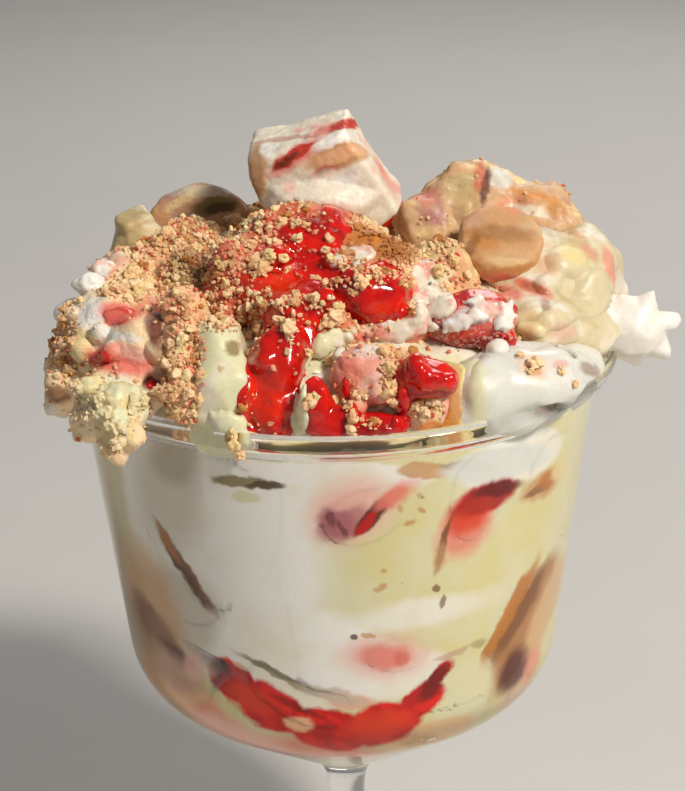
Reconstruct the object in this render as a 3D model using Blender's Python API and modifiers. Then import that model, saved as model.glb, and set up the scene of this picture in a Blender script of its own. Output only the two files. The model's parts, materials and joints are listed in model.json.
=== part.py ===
"""Strawberry banana pudding in a clear stemmed dessert cup.

The cup holds layers of vanilla pudding, whipped cream, wafer cookies, banana and
strawberry sauce. A heap of cream, cake, cookie crumbs and strawberries stands above
the rim. Metres, +Z up, origin at the centre of the foot's underside, front at -Y.
"""
import itertools
import math
import random

import bmesh
import bpy
from mathutils import Euler, Matrix, Vector
from mathutils.bvhtree import BVHTree

MM = 0.001
GAP = 0.3 * MM                 # air kept between touching pieces

# The cup
RIM_HEIGHT = 124 * MM
RIM_RADIUS = 49 * MM
LIP_WIDTH = 2.8 * MM           # thick ring round the mouth
LIP_DEPTH = 2.4 * MM
SHOULDER_RADIUS = 47 * MM      # step between the lip and the wall
SHOULDER_DEPTH = 5 * MM
BOWL_DEPTH = 84.6 * MM         # rim to where the underside meets the stem
WALL = 1.2 * MM
WALL_RADIUS_TOP = 46.1 * MM    # outer wall, carried up to the rim's plane
WALL_RADIUS_LOW = 38.3 * MM    # outer wall at the turn into the underside
TURN_DEPTH = 61.7 * MM         # depth of that turn below the rim
TURN_RADIUS = 15 * MM
TURN_INWARD = 0.94             # how an offset of the wall moves that turn, as shares
TURN_UPWARD = 0.58
FLOOR_DEPTH = 82 * MM          # small level floor inside the bowl
FLOOR_RADIUS = 5.8 * MM
STEM_RADIUS = 3.6 * MM
FOOT_RADIUS = 36 * MM
FOOT_EDGE = 1.8 * MM
FOOT_RISE = 2.6 * MM           # from the foot's edge up to the stem
CUP_STEPS = 24                 # sides of the turned shapes
FILL_DEPTH = 5 * MM            # depth of the fillings' level top
GUARD_DEPTH = 30 * MM          # how far down the heap is kept clear of the wall
TURN_MERGE = 0.02 * MM         # points this close on the axis become one

# Relief of the soft pieces
VOXEL = 1.3 * MM
FINE_VOXEL = 0.8 * MM
DETAIL = 0.42                  # share of each lump's triangles that is kept
NOISE_SIZE = 7 * MM
NOISE_DEPTH = 2.2 * MM
CRUMB_SEED = 11
STAR_POINTS = ((12, 7.4), (-42, 7.6), (-92, 6.8), (72, 6.6), (118, 6.6))   # degrees, mm
FLAT_ANGLES = (3, 1, 0)        # degrees up to which cut faces are joined, in turn
FOLDED = math.radians(179)     # edge angle at which a face is folded flat on its neighbour
CLEARANCES = (1.2, 1.4, 1.1, 1.7)          # gaps tried between a piece and its cutters
MERGES = (50e-6, 20e-6, 100e-6, 5e-6, 0)   # distances up to which corners are merged

COLOURS = {                    # colour in sRGB, roughness, transparency
    "glass": ((0.93, 0.93, 0.91), 0.08, 0.7),
    "cream": ((0.90, 0.90, 0.86), 0.45, 0.0),
    "cream_crumbed": ((0.86, 0.74, 0.62), 0.8, 0.0),
    "pudding": ((0.87, 0.84, 0.62), 0.4, 0.0),
    "strawberry": ((0.76, 0.12, 0.10), 0.25, 0.0),
    "pale_strawberry": ((0.84, 0.48, 0.44), 0.4, 0.0),
    "sauce": ((0.72, 0.06, 0.03), 0.12, 0.0),
    "wafer": ((0.70, 0.50, 0.28), 0.75, 0.0),
    "cake": ((0.87, 0.72, 0.56), 0.85, 0.0),
    "banana": ((0.88, 0.82, 0.62), 0.5, 0.0),
}


def clear_scene():
    """Empty the file of its objects."""
    for item in list(bpy.data.objects):
        bpy.data.objects.remove(item, do_unlink=True)


def new_collection(name):
    """A collection linked to the scene."""
    collection = bpy.data.collections.new(name)
    bpy.context.scene.collection.children.link(collection)
    return collection


def linear(value):
    """sRGB channel to linear light."""
    return value / 12.92 if value <= 0.04045 else ((value + 0.055) / 1.055) ** 2.4


def material(name):
    """Principled material of a colour in COLOURS."""
    if name in bpy.data.materials:
        return bpy.data.materials[name]
    srgb, roughness, clear = COLOURS[name]
    made = bpy.data.materials.new(name)
    made.use_nodes = True
    shader = made.node_tree.nodes["Principled BSDF"]
    shader.inputs["Base Color"].default_value = [linear(c) for c in srgb] + [1]
    shader.inputs["Roughness"].default_value = roughness
    shader.inputs["Metallic"].default_value = 0
    shader.inputs["Transmission Weight"].default_value = clear
    return made


# ---------------------------------------------------------------- turned shapes

def rounded(corners):
    """Outline through (x, z, radius) corners, each rounded off by its radius."""
    points = []
    for index, (x, z, radius) in enumerate(corners):
        here = Vector((x, z))
        if radius == 0 or index in (0, len(corners) - 1):
            points.append(here)
            continue
        before = (Vector(corners[index - 1][:2]) - here).normalized()
        after = (Vector(corners[index + 1][:2]) - here).normalized()
        half = before.angle(after) / 2
        reach = radius / math.tan(half)
        centre = here + (before + after).normalized() * radius / math.sin(half)
        start = here + before * reach - centre
        end = here + after * reach - centre
        sweep = start.angle_signed(end)
        steps = 1 if radius < 0.9 * MM else 2 if radius < 5 * MM else 4
        for step in range(steps + 1):
            turn = Matrix.Rotation(-sweep * step / steps, 2)
            points.append(centre + turn @ start)
    return points


def turned(name, outline, collection):
    """Solid turned about Z from an outline on the axis, or from a loop beside it."""
    mesh = bpy.data.meshes.new(name)
    vertices = [(point[0], 0, point[1]) for point in outline]
    edges = [(index, index + 1) for index in range(len(vertices) - 1)]
    if outline[0][0] > 0:
        edges.append((len(vertices) - 1, 0))
    mesh.from_pydata(vertices, edges, [])
    obj = bpy.data.objects.new(name, mesh)
    collection.objects.link(obj)
    screw = obj.modifiers.new("Turn", "SCREW")
    screw.steps = CUP_STEPS
    screw.render_steps = CUP_STEPS
    screw.use_merge_vertices = True
    screw.merge_threshold = TURN_MERGE
    settle_mesh(obj)
    return obj


def wall_radius(depth):
    """Outer radius of the bowl's wall at a depth below the rim."""
    return WALL_RADIUS_TOP + (WALL_RADIUS_LOW - WALL_RADIUS_TOP) * depth / TURN_DEPTH


def inner_turn(offset):
    """Corner between wall and underside, moved inward by an offset."""
    radius = WALL_RADIUS_LOW - TURN_INWARD * offset
    height = RIM_HEIGHT - TURN_DEPTH + TURN_UPWARD * offset
    return radius, height, TURN_RADIUS - offset


def glass_outline():
    """Half section: inside of the bowl, over the lip, outside, stem and foot."""
    top = RIM_HEIGHT
    foot_top = FOOT_EDGE + FOOT_RISE
    wall_top = wall_radius(SHOULDER_DEPTH)
    return rounded([
        (0, top - FLOOR_DEPTH, 0),
        (FLOOR_RADIUS, top - FLOOR_DEPTH, 3 * MM),
        inner_turn(WALL),
        (wall_top - WALL, top - SHOULDER_DEPTH, 0),
        (RIM_RADIUS - LIP_WIDTH - 0.2 * MM, top - 3.2 * MM, 0),
        (RIM_RADIUS - LIP_WIDTH, top, 1.0 * MM),
        (RIM_RADIUS, top, 1.1 * MM),
        (RIM_RADIUS, top - LIP_DEPTH, 0.8 * MM),
        (SHOULDER_RADIUS + 0.4 * MM, top - LIP_DEPTH - 0.3 * MM, 0),
        (SHOULDER_RADIUS, top - SHOULDER_DEPTH + 0.3 * MM, 0.6 * MM),
        (wall_top, top - SHOULDER_DEPTH - 0.2 * MM, 0),
        inner_turn(0),
        (STEM_RADIUS, top - BOWL_DEPTH, 8 * MM),
        (STEM_RADIUS - 0.5 * MM, foot_top + 12 * MM, 4 * MM),
        (STEM_RADIUS, foot_top, 3 * MM),
        (FOOT_RADIUS, FOOT_EDGE, 0.6 * MM),
        (FOOT_RADIUS, 0, 0.4 * MM),
        (0, 0, 0),
    ])


def inside_outline(top_depth):
    """Half section of the space inside the bowl, a gap clear of its wall."""
    top = RIM_HEIGHT
    upper_radius = wall_radius(top_depth) - WALL - GAP
    return rounded([
        (0, top - top_depth, 0),
        (upper_radius, top - top_depth, 0),
        inner_turn(WALL + GAP),
        (FLOOR_RADIUS, top - FLOOR_DEPTH + GAP, 3 * MM),
        (0, top - FLOOR_DEPTH + GAP, 0),
    ])


def lip_guard():
    """Ring a gap larger than the cup's lip and upper wall, to cut the heap with."""
    top = RIM_HEIGHT
    inside = wall_radius(FILL_DEPTH) - WALL - GAP
    mouth = RIM_RADIUS - LIP_WIDTH - 0.2 * MM - GAP
    outside = RIM_RADIUS + GAP
    below_lip = top - LIP_DEPTH - 2 * GAP
    shoulder = SHOULDER_RADIUS + GAP
    lip = [
        (inside, top - GUARD_DEPTH),
        (inside, top - FILL_DEPTH - GAP),
        (mouth, top - 3.4 * MM),
        (mouth, top + GAP),
        (outside, top + GAP),
        (outside, below_lip),
        (shoulder, top - SHOULDER_DEPTH - 0.2 * MM),
        (shoulder, top - GUARD_DEPTH),
    ]
    return turned("lip_guard", lip, HELPERS)


# ---------------------------------------------------------------- soft shapes

def settle_mesh(obj):
    """Replace an object's mesh by its evaluated one, without modifiers."""
    depsgraph = bpy.context.evaluated_depsgraph_get()
    mesh = bpy.data.meshes.new_from_object(obj.evaluated_get(depsgraph))
    mesh.transform(obj.matrix_world)
    obj.modifiers.clear()
    obj.data = mesh
    obj.matrix_world = Matrix.Identity(4)


def above_rim(x, y, z):
    """Point at x and y from the axis and z above the rim, from millimetres."""
    return Vector((x * MM, y * MM, RIM_HEIGHT + z * MM))


def ball(x, y, z, rx, ry=None, rz=None, turn=(0, 0, 0)):
    """Ellipsoid centred at x, y, z above the rim, with its radii, from millimetres."""
    radii = Vector((rx, ry or rx, rz or rx)) * MM
    return ("ball", above_rim(x, y, z), radii, turn)


def block(x, y, z, wide, deep, tall, turn=(0, 0, 0)):
    """Box centred at x, y, z above the rim, with its sizes, from millimetres."""
    half = Vector((wide, deep, tall)) * MM / 2
    return ("block", above_rim(x, y, z), half, turn)


def disc(x, y, z, radius, thick, turn=(0, 0, 0)):
    """Flat round piece centred at x, y, z above the rim, its axis turned from +Z."""
    half = Vector((radius, radius, thick / 2)) * MM
    return ("disc", above_rim(x, y, z), half, turn)


def add_form(mesh, form):
    """Add one primitive to a bmesh."""
    kind, centre, half, turn = form
    spin = Euler([math.radians(angle) for angle in turn]).to_matrix().to_4x4()
    place = Matrix.Translation(centre) @ spin @ Matrix.Diagonal((*half, 1))
    if kind == "ball":
        bmesh.ops.create_uvsphere(mesh, u_segments=24, v_segments=16, radius=1, matrix=place)
    elif kind == "block":
        bmesh.ops.create_cube(mesh, size=2, matrix=place)
    else:
        bmesh.ops.create_cone(mesh, cap_ends=True, segments=32, radius1=1, radius2=1,
                              depth=2, matrix=place)


def object_from(name, mesh, collection):
    """Object holding a finished bmesh."""
    data = bpy.data.meshes.new(name)
    mesh.to_mesh(data)
    mesh.free()
    obj = bpy.data.objects.new(name, data)
    collection.objects.link(obj)
    return obj


def count_triangles(mesh):
    """Triangles of a mesh."""
    return sum(len(face.vertices) - 2 for face in mesh.polygons)


def lump(name, forms, triangles, relief=1.0, voxel=VOXEL, smooth=3):
    """Soft solid: forms run together, smoothed, given relief and simplified."""
    mesh = bmesh.new()
    for form in forms:
        add_form(mesh, form)
    obj = object_from(name, mesh, HELPERS)
    remesh = obj.modifiers.new("Merge", "REMESH")
    remesh.mode = "VOXEL"
    remesh.voxel_size = voxel
    if smooth:
        soften = obj.modifiers.new("Soften", "SMOOTH")
        soften.factor = 0.5
        soften.iterations = smooth
    if relief:
        swell = obj.modifiers.new("Relief", "DISPLACE")
        swell.texture = CLOUDS
        swell.texture_coords = "GLOBAL"
        swell.strength = NOISE_DEPTH * relief
        swell.mid_level = 0.5
    settle_mesh(obj)
    simplify = obj.modifiers.new("Simplify", "DECIMATE")
    simplify.ratio = min(1, DETAIL * triangles / count_triangles(obj.data))
    settle_mesh(obj)
    return obj


def bodies_of(mesh):
    """The separate bodies of a bmesh, each a set of faces, the largest first."""
    bodies = []
    waiting = set(mesh.faces)
    while waiting:
        body = set()
        front = [waiting.pop()]
        while front:
            face = front.pop()
            body.add(face)
            for edge in face.edges:
                for other in edge.link_faces:
                    if other in waiting:
                        waiting.remove(other)
                        front.append(other)
        bodies.append(body)
    return sorted(bodies, key=len, reverse=True)


def tidy_cuts(obj):
    """Merge a cut piece's slivers and keep its largest body; false if it isn't closed."""
    for flat, merge in itertools.product(FLAT_ANGLES, MERGES):
        mesh = bmesh.new()
        mesh.from_mesh(obj.data)
        if flat:
            bmesh.ops.dissolve_limit(mesh, angle_limit=math.radians(flat),
                                     verts=mesh.verts, edges=mesh.edges)
        bmesh.ops.remove_doubles(mesh, verts=mesh.verts, dist=merge)
        bmesh.ops.triangulate(mesh, faces=mesh.faces)
        for body in bodies_of(mesh)[1:]:
            bmesh.ops.delete(mesh, geom=list(body), context="FACES")
        sound = all(edge.is_manifold and edge.calc_face_angle(0) < FOLDED for edge in mesh.edges)
        if sound:
            mesh.to_mesh(obj.data)
        mesh.free()
        if sound:
            return True
    return False


def bounds(obj):
    """Lowest and highest corner of an object's mesh."""
    corners = [vertex.co for vertex in obj.data.vertices]
    low = [min(corner[axis] for corner in corners) for axis in range(3)]
    high = [max(corner[axis] for corner in corners) for axis in range(3)]
    return low, high


def boxes_meet(one, other):
    """Whether two objects' boxes come within a gap of each other."""
    low, high = bounds(one)
    other_low, other_high = bounds(other)
    reach = 2 * GAP
    return all(low[axis] - reach < other_high[axis] and other_low[axis] - reach < high[axis]
               for axis in range(3))


def volume(data):
    """Volume of a closed mesh, or nothing for an open one."""
    mesh = bmesh.new()
    mesh.from_mesh(data)
    closed = len(mesh.faces) > 0 and all(edge.is_manifold for edge in mesh.edges)
    amount = mesh.calc_volume(signed=True) if closed else 0
    mesh.free()
    return amount


def grown_copy(obj, distance):
    """Copy of an object, grown along its normals, to cut with.

    Growing folds a carved surface's slivers, so the copy as it is cuts too.
    """
    copy = bpy.data.objects.new(obj.name + "_cutter", obj.data.copy())
    HELPERS.objects.link(copy)
    copy.hide_render = True
    copy.display_type = "WIRE"
    if distance:
        grow = copy.modifiers.new("Grow", "DISPLACE")
        grow.mid_level = 0
        grow.strength = distance
        settle_mesh(copy)
    return copy


def cut(obj, cutter, operation="DIFFERENCE"):
    """Apply one Boolean and remove the cutter, with the second solver if need be."""
    whole = obj.data
    for solver in ("EXACT", "MANIFOLD"):
        obj.data = whole
        boolean = obj.modifiers.new("Cut", "BOOLEAN")
        boolean.operation = operation
        boolean.object = cutter
        boolean.solver = solver
        settle_mesh(obj)
        if believable(volume(whole), volume(cutter.data), volume(obj.data), operation):
            break
    bpy.data.objects.remove(cutter, do_unlink=True)


def believable(whole, cutter, left, operation):
    """Whether a cut's volumes fit together, as they don't where a solver fails."""
    slack = whole / 1000
    if operation == "INTERSECT":
        return 0 < left < min(whole, cutter) + slack
    return max(whole - cutter, whole / 10) - slack < left < whole + slack


def finish(obj, colour, above=True):
    """Clear a piece of those made before it and add it to the pudding."""
    whole = obj.data
    for clearance in CLEARANCES:
        obj.data = whole.copy()
        if above and bounds(obj)[0][2] < RIM_HEIGHT + GAP:
            cut(obj, lip_guard())
        for other in PIECES:
            if boxes_meet(obj, other):
                cut(obj, grown_copy(other, GAP * clearance))
                cut(obj, grown_copy(other, 0))
        if tidy_cuts(obj):
            break
    add_piece(obj, colour)
    PIECES.append(obj)


def add_piece(obj, colour):
    """Give a finished solid its material and put it with the pudding."""
    obj.data.materials.clear()
    obj.data.materials.append(material(colour))
    obj.data.shade_smooth()
    obj.data.set_sharp_from_angle(angle=math.radians(50))
    HELPERS.objects.unlink(obj)
    PUDDING.objects.link(obj)


def fuse_crumbs(obj, count, sizes, low, high, seed):
    """Fuse crumbs to the upper side of a piece, the largest first."""
    chance = random.Random(seed)
    mesh = bmesh.new()
    mesh.from_mesh(obj.data)
    tree = BVHTree.FromBMesh(mesh)
    mesh.free()
    crumbs = bpy.data.collections.new("crumbs")
    bpy.context.scene.collection.children.link(crumbs)
    placed = []
    tries = 0
    while len(placed) < count and tries < 40 * count:
        tries += 1
        x = chance.uniform(low[0], high[0])
        z = chance.uniform(low[1], high[1])
        start = above_rim(x, -70, z)
        hit, normal, _, _ = tree.ray_cast(start, Vector((0, 1, 0)))
        size = (sizes[1] - (sizes[1] - sizes[0]) * len(placed) / count) * MM
        if hit is None or any((hit - other).length < size * 1.3 for other in placed):
            continue
        turn = [chance.uniform(0, 360) for _ in range(3)]
        radii = Vector([size / 2 * chance.uniform(0.75, 1.15) for _ in range(3)])
        spin = Euler([math.radians(angle) for angle in turn]).to_matrix().to_4x4()
        place = Matrix.Translation(hit + normal * size * 0.15) @ spin @ Matrix.Diagonal((*radii, 1))
        crumb = bmesh.new()
        bmesh.ops.create_icosphere(crumb, subdivisions=1, radius=1, matrix=place)
        object_from("crumb", crumb, crumbs)
        placed.append(hit)
    join = obj.modifiers.new("Crumbs", "BOOLEAN")
    join.operation = "UNION"
    join.operand_type = "COLLECTION"
    join.collection = crumbs
    join.solver = "MANIFOLD"
    settle_mesh(obj)
    for crumb in list(crumbs.objects):
        bpy.data.objects.remove(crumb, do_unlink=True)
    bpy.data.collections.remove(crumbs)


# ---------------------------------------------------------------- the heap

def make_top_block():
    """Cake block with cream and sauce, lying across the top."""
    finish(lump("top_cake_block", [
        block(-4.9, 7, 30.2, 17, 13, 10, (8, -13, -6)),
        block(2.8, 5.5, 27.6, 9.5, 12, 17, (6, -33, -6)),
        ball(-2, 2, 24.5, 10, 6, 4),
    ], 300, relief=0.4, voxel=FINE_VOXEL, smooth=1), "cream_crumbed")


def make_strawberries():
    """Sauced strawberries and jelly pieces that show on the heap."""
    finish(lump("pool_strawberry", [ball(5.5, -23, 14.5, 6.5, 4.5, 5.2, (20, 12, 0)),
                                    ball(8.5, -25, 11.5, 3.6, 3, 3)],
                160, relief=0.4), "sauce")
    finish(lump("strawberry_slice", [ball(21.5, -25, 11.4, 8, 4.6, 4.4, (-18, -6, 0)),
                                     ball(26.2, -27.5, 8.6, 2.7)],
                180, relief=0.3, voxel=FINE_VOXEL), "strawberry")
    finish(lump("front_jelly_left", [ball(-3.6, -42.6, 3.5, 2.6, 2.6, 5),
                                     ball(0.5, -43.8, 0.4, 3.8, 2.4, 3),
                                     ball(6.5, -43.4, -0.2, 4.5, 2.4, 2.4)],
                160, relief=0.3, voxel=FINE_VOXEL), "sauce")
    finish(lump("front_jelly_right", [ball(14, -41, 7.2, 5, 3.4, 3.1, (0, 12, 0)),
                                      ball(10.2, -41, 5, 2.4, 2.6, 4)],
                140, relief=0.3, voxel=FINE_VOXEL), "sauce")
    finish(lump("back_strawberry", [ball(5, 27, 15, 8, 7, 7, (25, 0, 20))],
                140, relief=0.4), "strawberry")
    finish(lump("back_left_strawberry", [ball(-27, 31, 10, 6.6, 6, 5.6)],
                120, relief=0.4), "strawberry")


def make_cookies():
    """Wafer cookies and banana that show on the heap."""
    finish(lump("back_wafer", [disc(-24.4, 20, 11.6, 10.8, 4.2, (76, 0, -8))],
                150, relief=0.25, smooth=2), "wafer")
    finish(lump("oval_wafer", [disc(28.2, -4.5, 17.9, 7.2, 4.5, (34, 8, -10))],
                150, relief=0.3, smooth=2), "wafer")
    finish(lump("front_banana_slice", [disc(16.4, -37.4, 1.6, 6.6, 5, (74, 0, 18))],
                140, relief=0.2, smooth=2), "banana")
    finish(lump("right_back_wafer", [disc(28, 29.5, 12.5, 10, 4.4, (-58, 14, -24))],
                140, relief=0.25, smooth=2), "wafer")
    finish(lump("back_banana_slice", [disc(-10, 36.5, 8.5, 9, 5, (-52, 0, 8))],
                130, relief=0.2, smooth=2), "banana")


def make_front():
    """Cake chunk, crumbed leg and cream ridge along the front of the rim."""
    obj = lump("front_cake_chunk", [
        ball(5, -37.5, 6, 6.5, 5, 5.5),
        block(4.5, -37, 5.5, 10, 7, 9, (10, 6, 10)),
        ball(13, -39, 1.6, 4.6, 3.8, 4.8),
        ball(12, -35, 6, 4, 3, 3),
    ], 220, relief=0.9, smooth=1)
    fuse_crumbs(obj, 5, (2.2, 3.2), (2, 1), (12, 9), CRUMB_SEED)
    finish(obj, "pale_strawberry")
    finish(lump("front_cream_ridge", [ball(-19.2, -31.5, 8.5, 4.5, 5, 6.5, (25, 0, 0)),
                                      ball(-18.2, -36.5, 3.5, 5.6, 5, 7, (20, 0, 0)),
                                      ball(-17.5, -38.6, -1.5, 6.2, 4.4, 4.6)],
                200, relief=0.3), "cream")
    obj = lump("crumbed_leg", [ball(-25.2, -26, 12.5, 4.5, 5, 5.5),
                               ball(-25.0, -31, 8.6, 4.0, 5, 6, (25, 0, 0)),
                               ball(-24.4, -36.3, 3.2, 3.2, 4.4, 6, (22, 0, 0)),
                               ball(-24.0, -38.4, -0.5, 2.8, 3, 4)],
               180, relief=0.8)
    fuse_crumbs(obj, 5, (2.2, 3.4), (-29, -2), (-22, 15), CRUMB_SEED + 1)
    finish(obj, "cream_crumbed")


def make_left_side():
    """Clump that hangs over the rim at the left, with its peaks."""
    finish(lump("left_cream_peak", [ball(-41.8, -14, 8.4, 3.8, 4, 4.4),
                                    ball(-44.2, -14, 9.4, 2.7, 2.5, 2.9),
                                    ball(-46, -14, 10, 1.6, 1.5, 1.7)],
                140, relief=0.2, voxel=FINE_VOXEL), "cream")
    finish(lump("pudding_peak", [ball(-34.5, 13, 12, 5.6, 5, 6.5),
                                 block(-35.4, 13.5, 15.6, 6, 5.6, 7.6, (6, -14, 24))],
                150, relief=0.3, voxel=FINE_VOXEL, smooth=1), "pudding")
    obj = lump("left_clump", [
        ball(-36.5, -19, 7.2, 9.8, 10, 9),
        ball(-37, -9, 11.2, 6.6, 7.4, 7),
        ball(-31, -27, 8, 7.2, 7, 6.5),
        ball(-35, -34, 2.5, 7.5, 6, 4.6),
        ball(-43, -20, 1.8, 5.8, 7.5, 6),
        ball(-45.4, -22, -2.2, 3.8, 4, 2.8),
        ball(-37.5, -37.5, -0.4, 6.5, 4.4, 3.6),
        ball(-34.6, -45.6, -1, 2.6, 2.2, 3.6),
        ball(-35.5, -41.5, 1.4, 4.2, 4.6, 2.6),
    ], 460, relief=1.1)
    fuse_crumbs(obj, 10, (2.6, 4.6), (-46, -2), (-28, 13), CRUMB_SEED + 2)
    finish(obj, "cream_crumbed")
    finish(lump("left_back_lump", [ball(-33, 6, 8, 8, 9, 7.5),
                                   ball(-26, 10, 12.5, 7, 7, 6),
                                   ball(-24.5, -7, 11, 7, 9, 6.5)],
                240, relief=0.9), "cream_crumbed")


def make_right_side():
    """Dollop, clumps and piped star along the right of the rim."""
    finish(lump("white_dollop", [ball(29, -29, 1, 11.5, 8, 6.6, (12, 0, 22)),
                                 ball(22.2, -34.4, 1.4, 5.2, 5, 6.2),
                                 ball(38.5, -19, -0.5, 6.5, 8, 4.6)],
                280, relief=0.25), "cream")
    star = [ball(45.6, -4.5, 3.2, 6, 6.5, 5.2), ball(50.8, -6, 2.6, 5.2, 5, 5.4)]
    for angle, reach in STAR_POINTS:
        across = math.cos(math.radians(angle)) * reach / 2
        upward = math.sin(math.radians(angle)) * reach / 2
        star.append(ball(52 + across, -6, 2.6 + upward, reach * 0.55, 2.2, 1.6, (0, -angle, 0)))
    finish(lump("piped_star", star, 280, relief=0, voxel=FINE_VOXEL, smooth=2), "cream")
    finish(lump("right_clump", [
        ball(34, 1, 9, 12, 13, 9.5),
        ball(42, 3, 9.5, 8.0, 11, 8.6),
        ball(41, -6, 3.5, 8.2, 10, 6),
        ball(45, 2, 4.2, 6.0, 9, 6),
        ball(32, -14, 6.5, 9, 8, 6),
    ], 240, relief=1.0), "cream")
    finish(lump("right_back_clump", [
        ball(25, 13, 19.5, 9.2, 9, 7.8),
        ball(16.5, 8, 16.8, 6.2, 6.4, 6),
        ball(35.5, 12, 15.4, 9, 9, 8.2),
        ball(24, 22, 12, 10, 9, 8),
    ], 360, relief=1.0), "cream_crumbed")
    finish(lump("centre_right_lump", [ball(18, -8, 12, 6.5, 7, 7),
                                      ball(16, -20, 9, 5.5, 6, 5.5)],
                180, relief=1.0), "cream_crumbed")


def make_mound():
    """Crumbed cream mound at the centre with the thick sauce that runs down it."""
    obj = lump("crumbed_mound", [
        ball(-5.5, -5, 12.5, 15.5, 14, 13),
        ball(-13.5, -13, 12.5, 9, 9, 9),
        ball(6, -12, 13, 9.5, 10, 8.5),
        ball(10.5, -22, 8.5, 6.5, 7, 7),
        ball(-5, -24, 9.5, 8.5, 8, 8),
        ball(-9.6, -33, 5.4, 5.4, 6, 8.4, (28, 0, 0)),
        ball(-11, -37.8, 0, 5, 4.4, 5.2, (15, 0, 0)),
    ], 500, relief=1.0)
    fuse_crumbs(obj, 15, (2.6, 4.8), (-21, 8), (15, 25), CRUMB_SEED + 3)
    finish(obj, "sauce")


def make_cores():
    """Cream that carries the heap, and the lumps along its back."""
    core = lump("cream_heap", [
        ball(0, 0, 0, 43, 43, 12),
        ball(0, 0, -3, 44, 44, 4.4),
        ball(-8, 8, 8, 26, 24, 8),
        ball(22, 6, 6, 22, 24, 8),
    ], 520, relief=0.6, voxel=2 * MM)
    inside = wall_radius(FILL_DEPTH) - WALL - GAP
    low = RIM_HEIGHT - FILL_DEPTH + GAP
    high = RIM_HEIGHT + 30 * MM
    cut(core, turned("mouth", [(0, high), (inside, high), (inside, low), (0, low)], HELPERS),
        "INTERSECT")
    finish(core, "cream")
    finish(lump("back_cake_lump", [ball(-12, 22, 9, 12, 11, 9),
                                   ball(-2, 30, 6, 12, 10, 8),
                                   ball(-4, 14, 15, 9, 9, 8)],
                260, relief=1.2), "cake")
    finish(lump("back_left_lump", [ball(-30, 22, 4.5, 9.5, 10, 8),
                                   ball(-24, 31, 3.5, 9, 8, 7),
                                   ball(-38, 12, 2.5, 6, 9, 6)],
                240, relief=1.2), "cream_crumbed")
    finish(lump("back_right_lump", [ball(17, 33, 4.5, 11, 8.5, 8),
                                    ball(31, 24, 5, 9, 10, 8),
                                    ball(39, 13, 3.5, 6, 9, 6.5)],
                260, relief=1.2), "cream_crumbed")


# ---------------------------------------------------------------- the fillings

def make_filling(name, forms, triangles, colour, relief=0.6, smooth=3, voxel=VOXEL):
    """A filling's forms, cut to the inside of the bowl."""
    obj = lump(name, forms, triangles, relief=relief, smooth=smooth, voxel=voxel)
    cut(obj, turned("inside", inside_outline(FILL_DEPTH), HELPERS), "INTERSECT")
    finish(obj, colour, above=False)


def make_fillings():
    """Pieces at the wall first, then the layers that run through the bowl."""
    make_filling("wall_strawberry_slice", [ball(3, -40.5, -15.6, 6.5, 5, 5.4, (0, -35, 0)),
                                           ball(8.6, -40.5, -12.6, 4, 4, 5.6, (0, 38, 0))],
                 110, "pale_strawberry", relief=0.3)
    make_filling("wall_strawberry_right", [ball(24, -34, -12.4, 8.6, 7, 6.4, (0, 8, 34)),
                                           ball(20.5, -36, -17, 4, 5, 6)],
                 130, "strawberry", relief=0.4)
    make_filling("wall_strawberry_low", [ball(8.6, -37, -42.6, 6, 4.5, 3.6)],
                 80, "pale_strawberry", relief=0.3)
    make_filling("wafer_high_right", [disc(36, -24, -15.5, 8, 4.6, (66, 0, 58))],
                 100, "wafer", relief=0.3, smooth=2)
    make_filling("wafer_right", [disc(33.4, -17.5, -47, 17, 5, (80, 0, 60)),
                                 ball(35, -12, -42, 4, 13, 13)],
                 170, "wafer", relief=0.3, smooth=2)
    make_filling("wafer_left", [disc(-25, -29, -29.5, 10.5, 2.6, (80, 62, -40))],
                 110, "wafer", relief=0.2, smooth=1, voxel=FINE_VOXEL)
    make_filling("wafer_low_right", [disc(17.6, -31, -58.6, 7.8, 4.6, (66, 0, 30))],
                 100, "wafer", relief=0.3, smooth=2)
    make_filling("banana_slice_low", [disc(-7.4, -35.6, -49.6, 9, 4.4, (62, 24, -8))],
                 100, "banana", relief=0.2, smooth=2)
    make_filling("soaked_wafer_left", [ball(-30, -20, -50, 12, 14, 9, (0, 20, 0))],
                 140, "cake", relief=0.7)
    make_filling("wall_strawberry_back", [ball(-12, 38, -24, 8, 6, 6.5, (0, 30, 0))],
                 90, "strawberry", relief=0.4)
    make_filling("wafer_back", [disc(16, 33, -40, 13, 4.8, (78, 0, -26))],
                 130, "wafer", relief=0.3, smooth=2)
    make_filling("strawberry_sauce_layer", [
        ball(-10, -10, -57, 30, 30, 6, (2, 4, 0)),
        ball(6, -24, -57.5, 16, 15, 5.4),
        ball(-14, -26, -52, 10, 12, 5.5, (0, -14, 0)),
        ball(14, -28, -52.5, 7, 10, 5, (0, 38, 0)),
        ball(-2, 6, -56, 36, 36, 5.5),
        ball(2, 24, -55, 26, 17, 4.5, (-6, 5, 0)),
    ], 190, "sauce", relief=0.5)
    make_filling("cream_layer", [
        ball(10, 26, -46, 26, 18, 6, (0, 8, 0)),
        ball(-24, -12, -22, 24, 34, 26),
        ball(-14, -20, -36, 20, 22, 16, (0, 28, 0)),
        ball(3, -26, -46, 17, 14, 5.5, (0, 4, 0)),
        ball(-12, 12, -20, 30, 34, 22),
        ball(-16, -20, -10, 22, 24, 12),
    ], 170, "cream", relief=0.4)
    finish(turned("pudding_layer", inside_outline(FILL_DEPTH), HELPERS), "pudding", above=False)


clear_scene()
PUDDING = new_collection("banana_pudding")
HELPERS = new_collection("cutters")
PIECES = []
CLOUDS = bpy.data.textures.new("soft_relief", "CLOUDS")
CLOUDS.noise_scale = NOISE_SIZE
CLOUDS.noise_depth = 2

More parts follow.
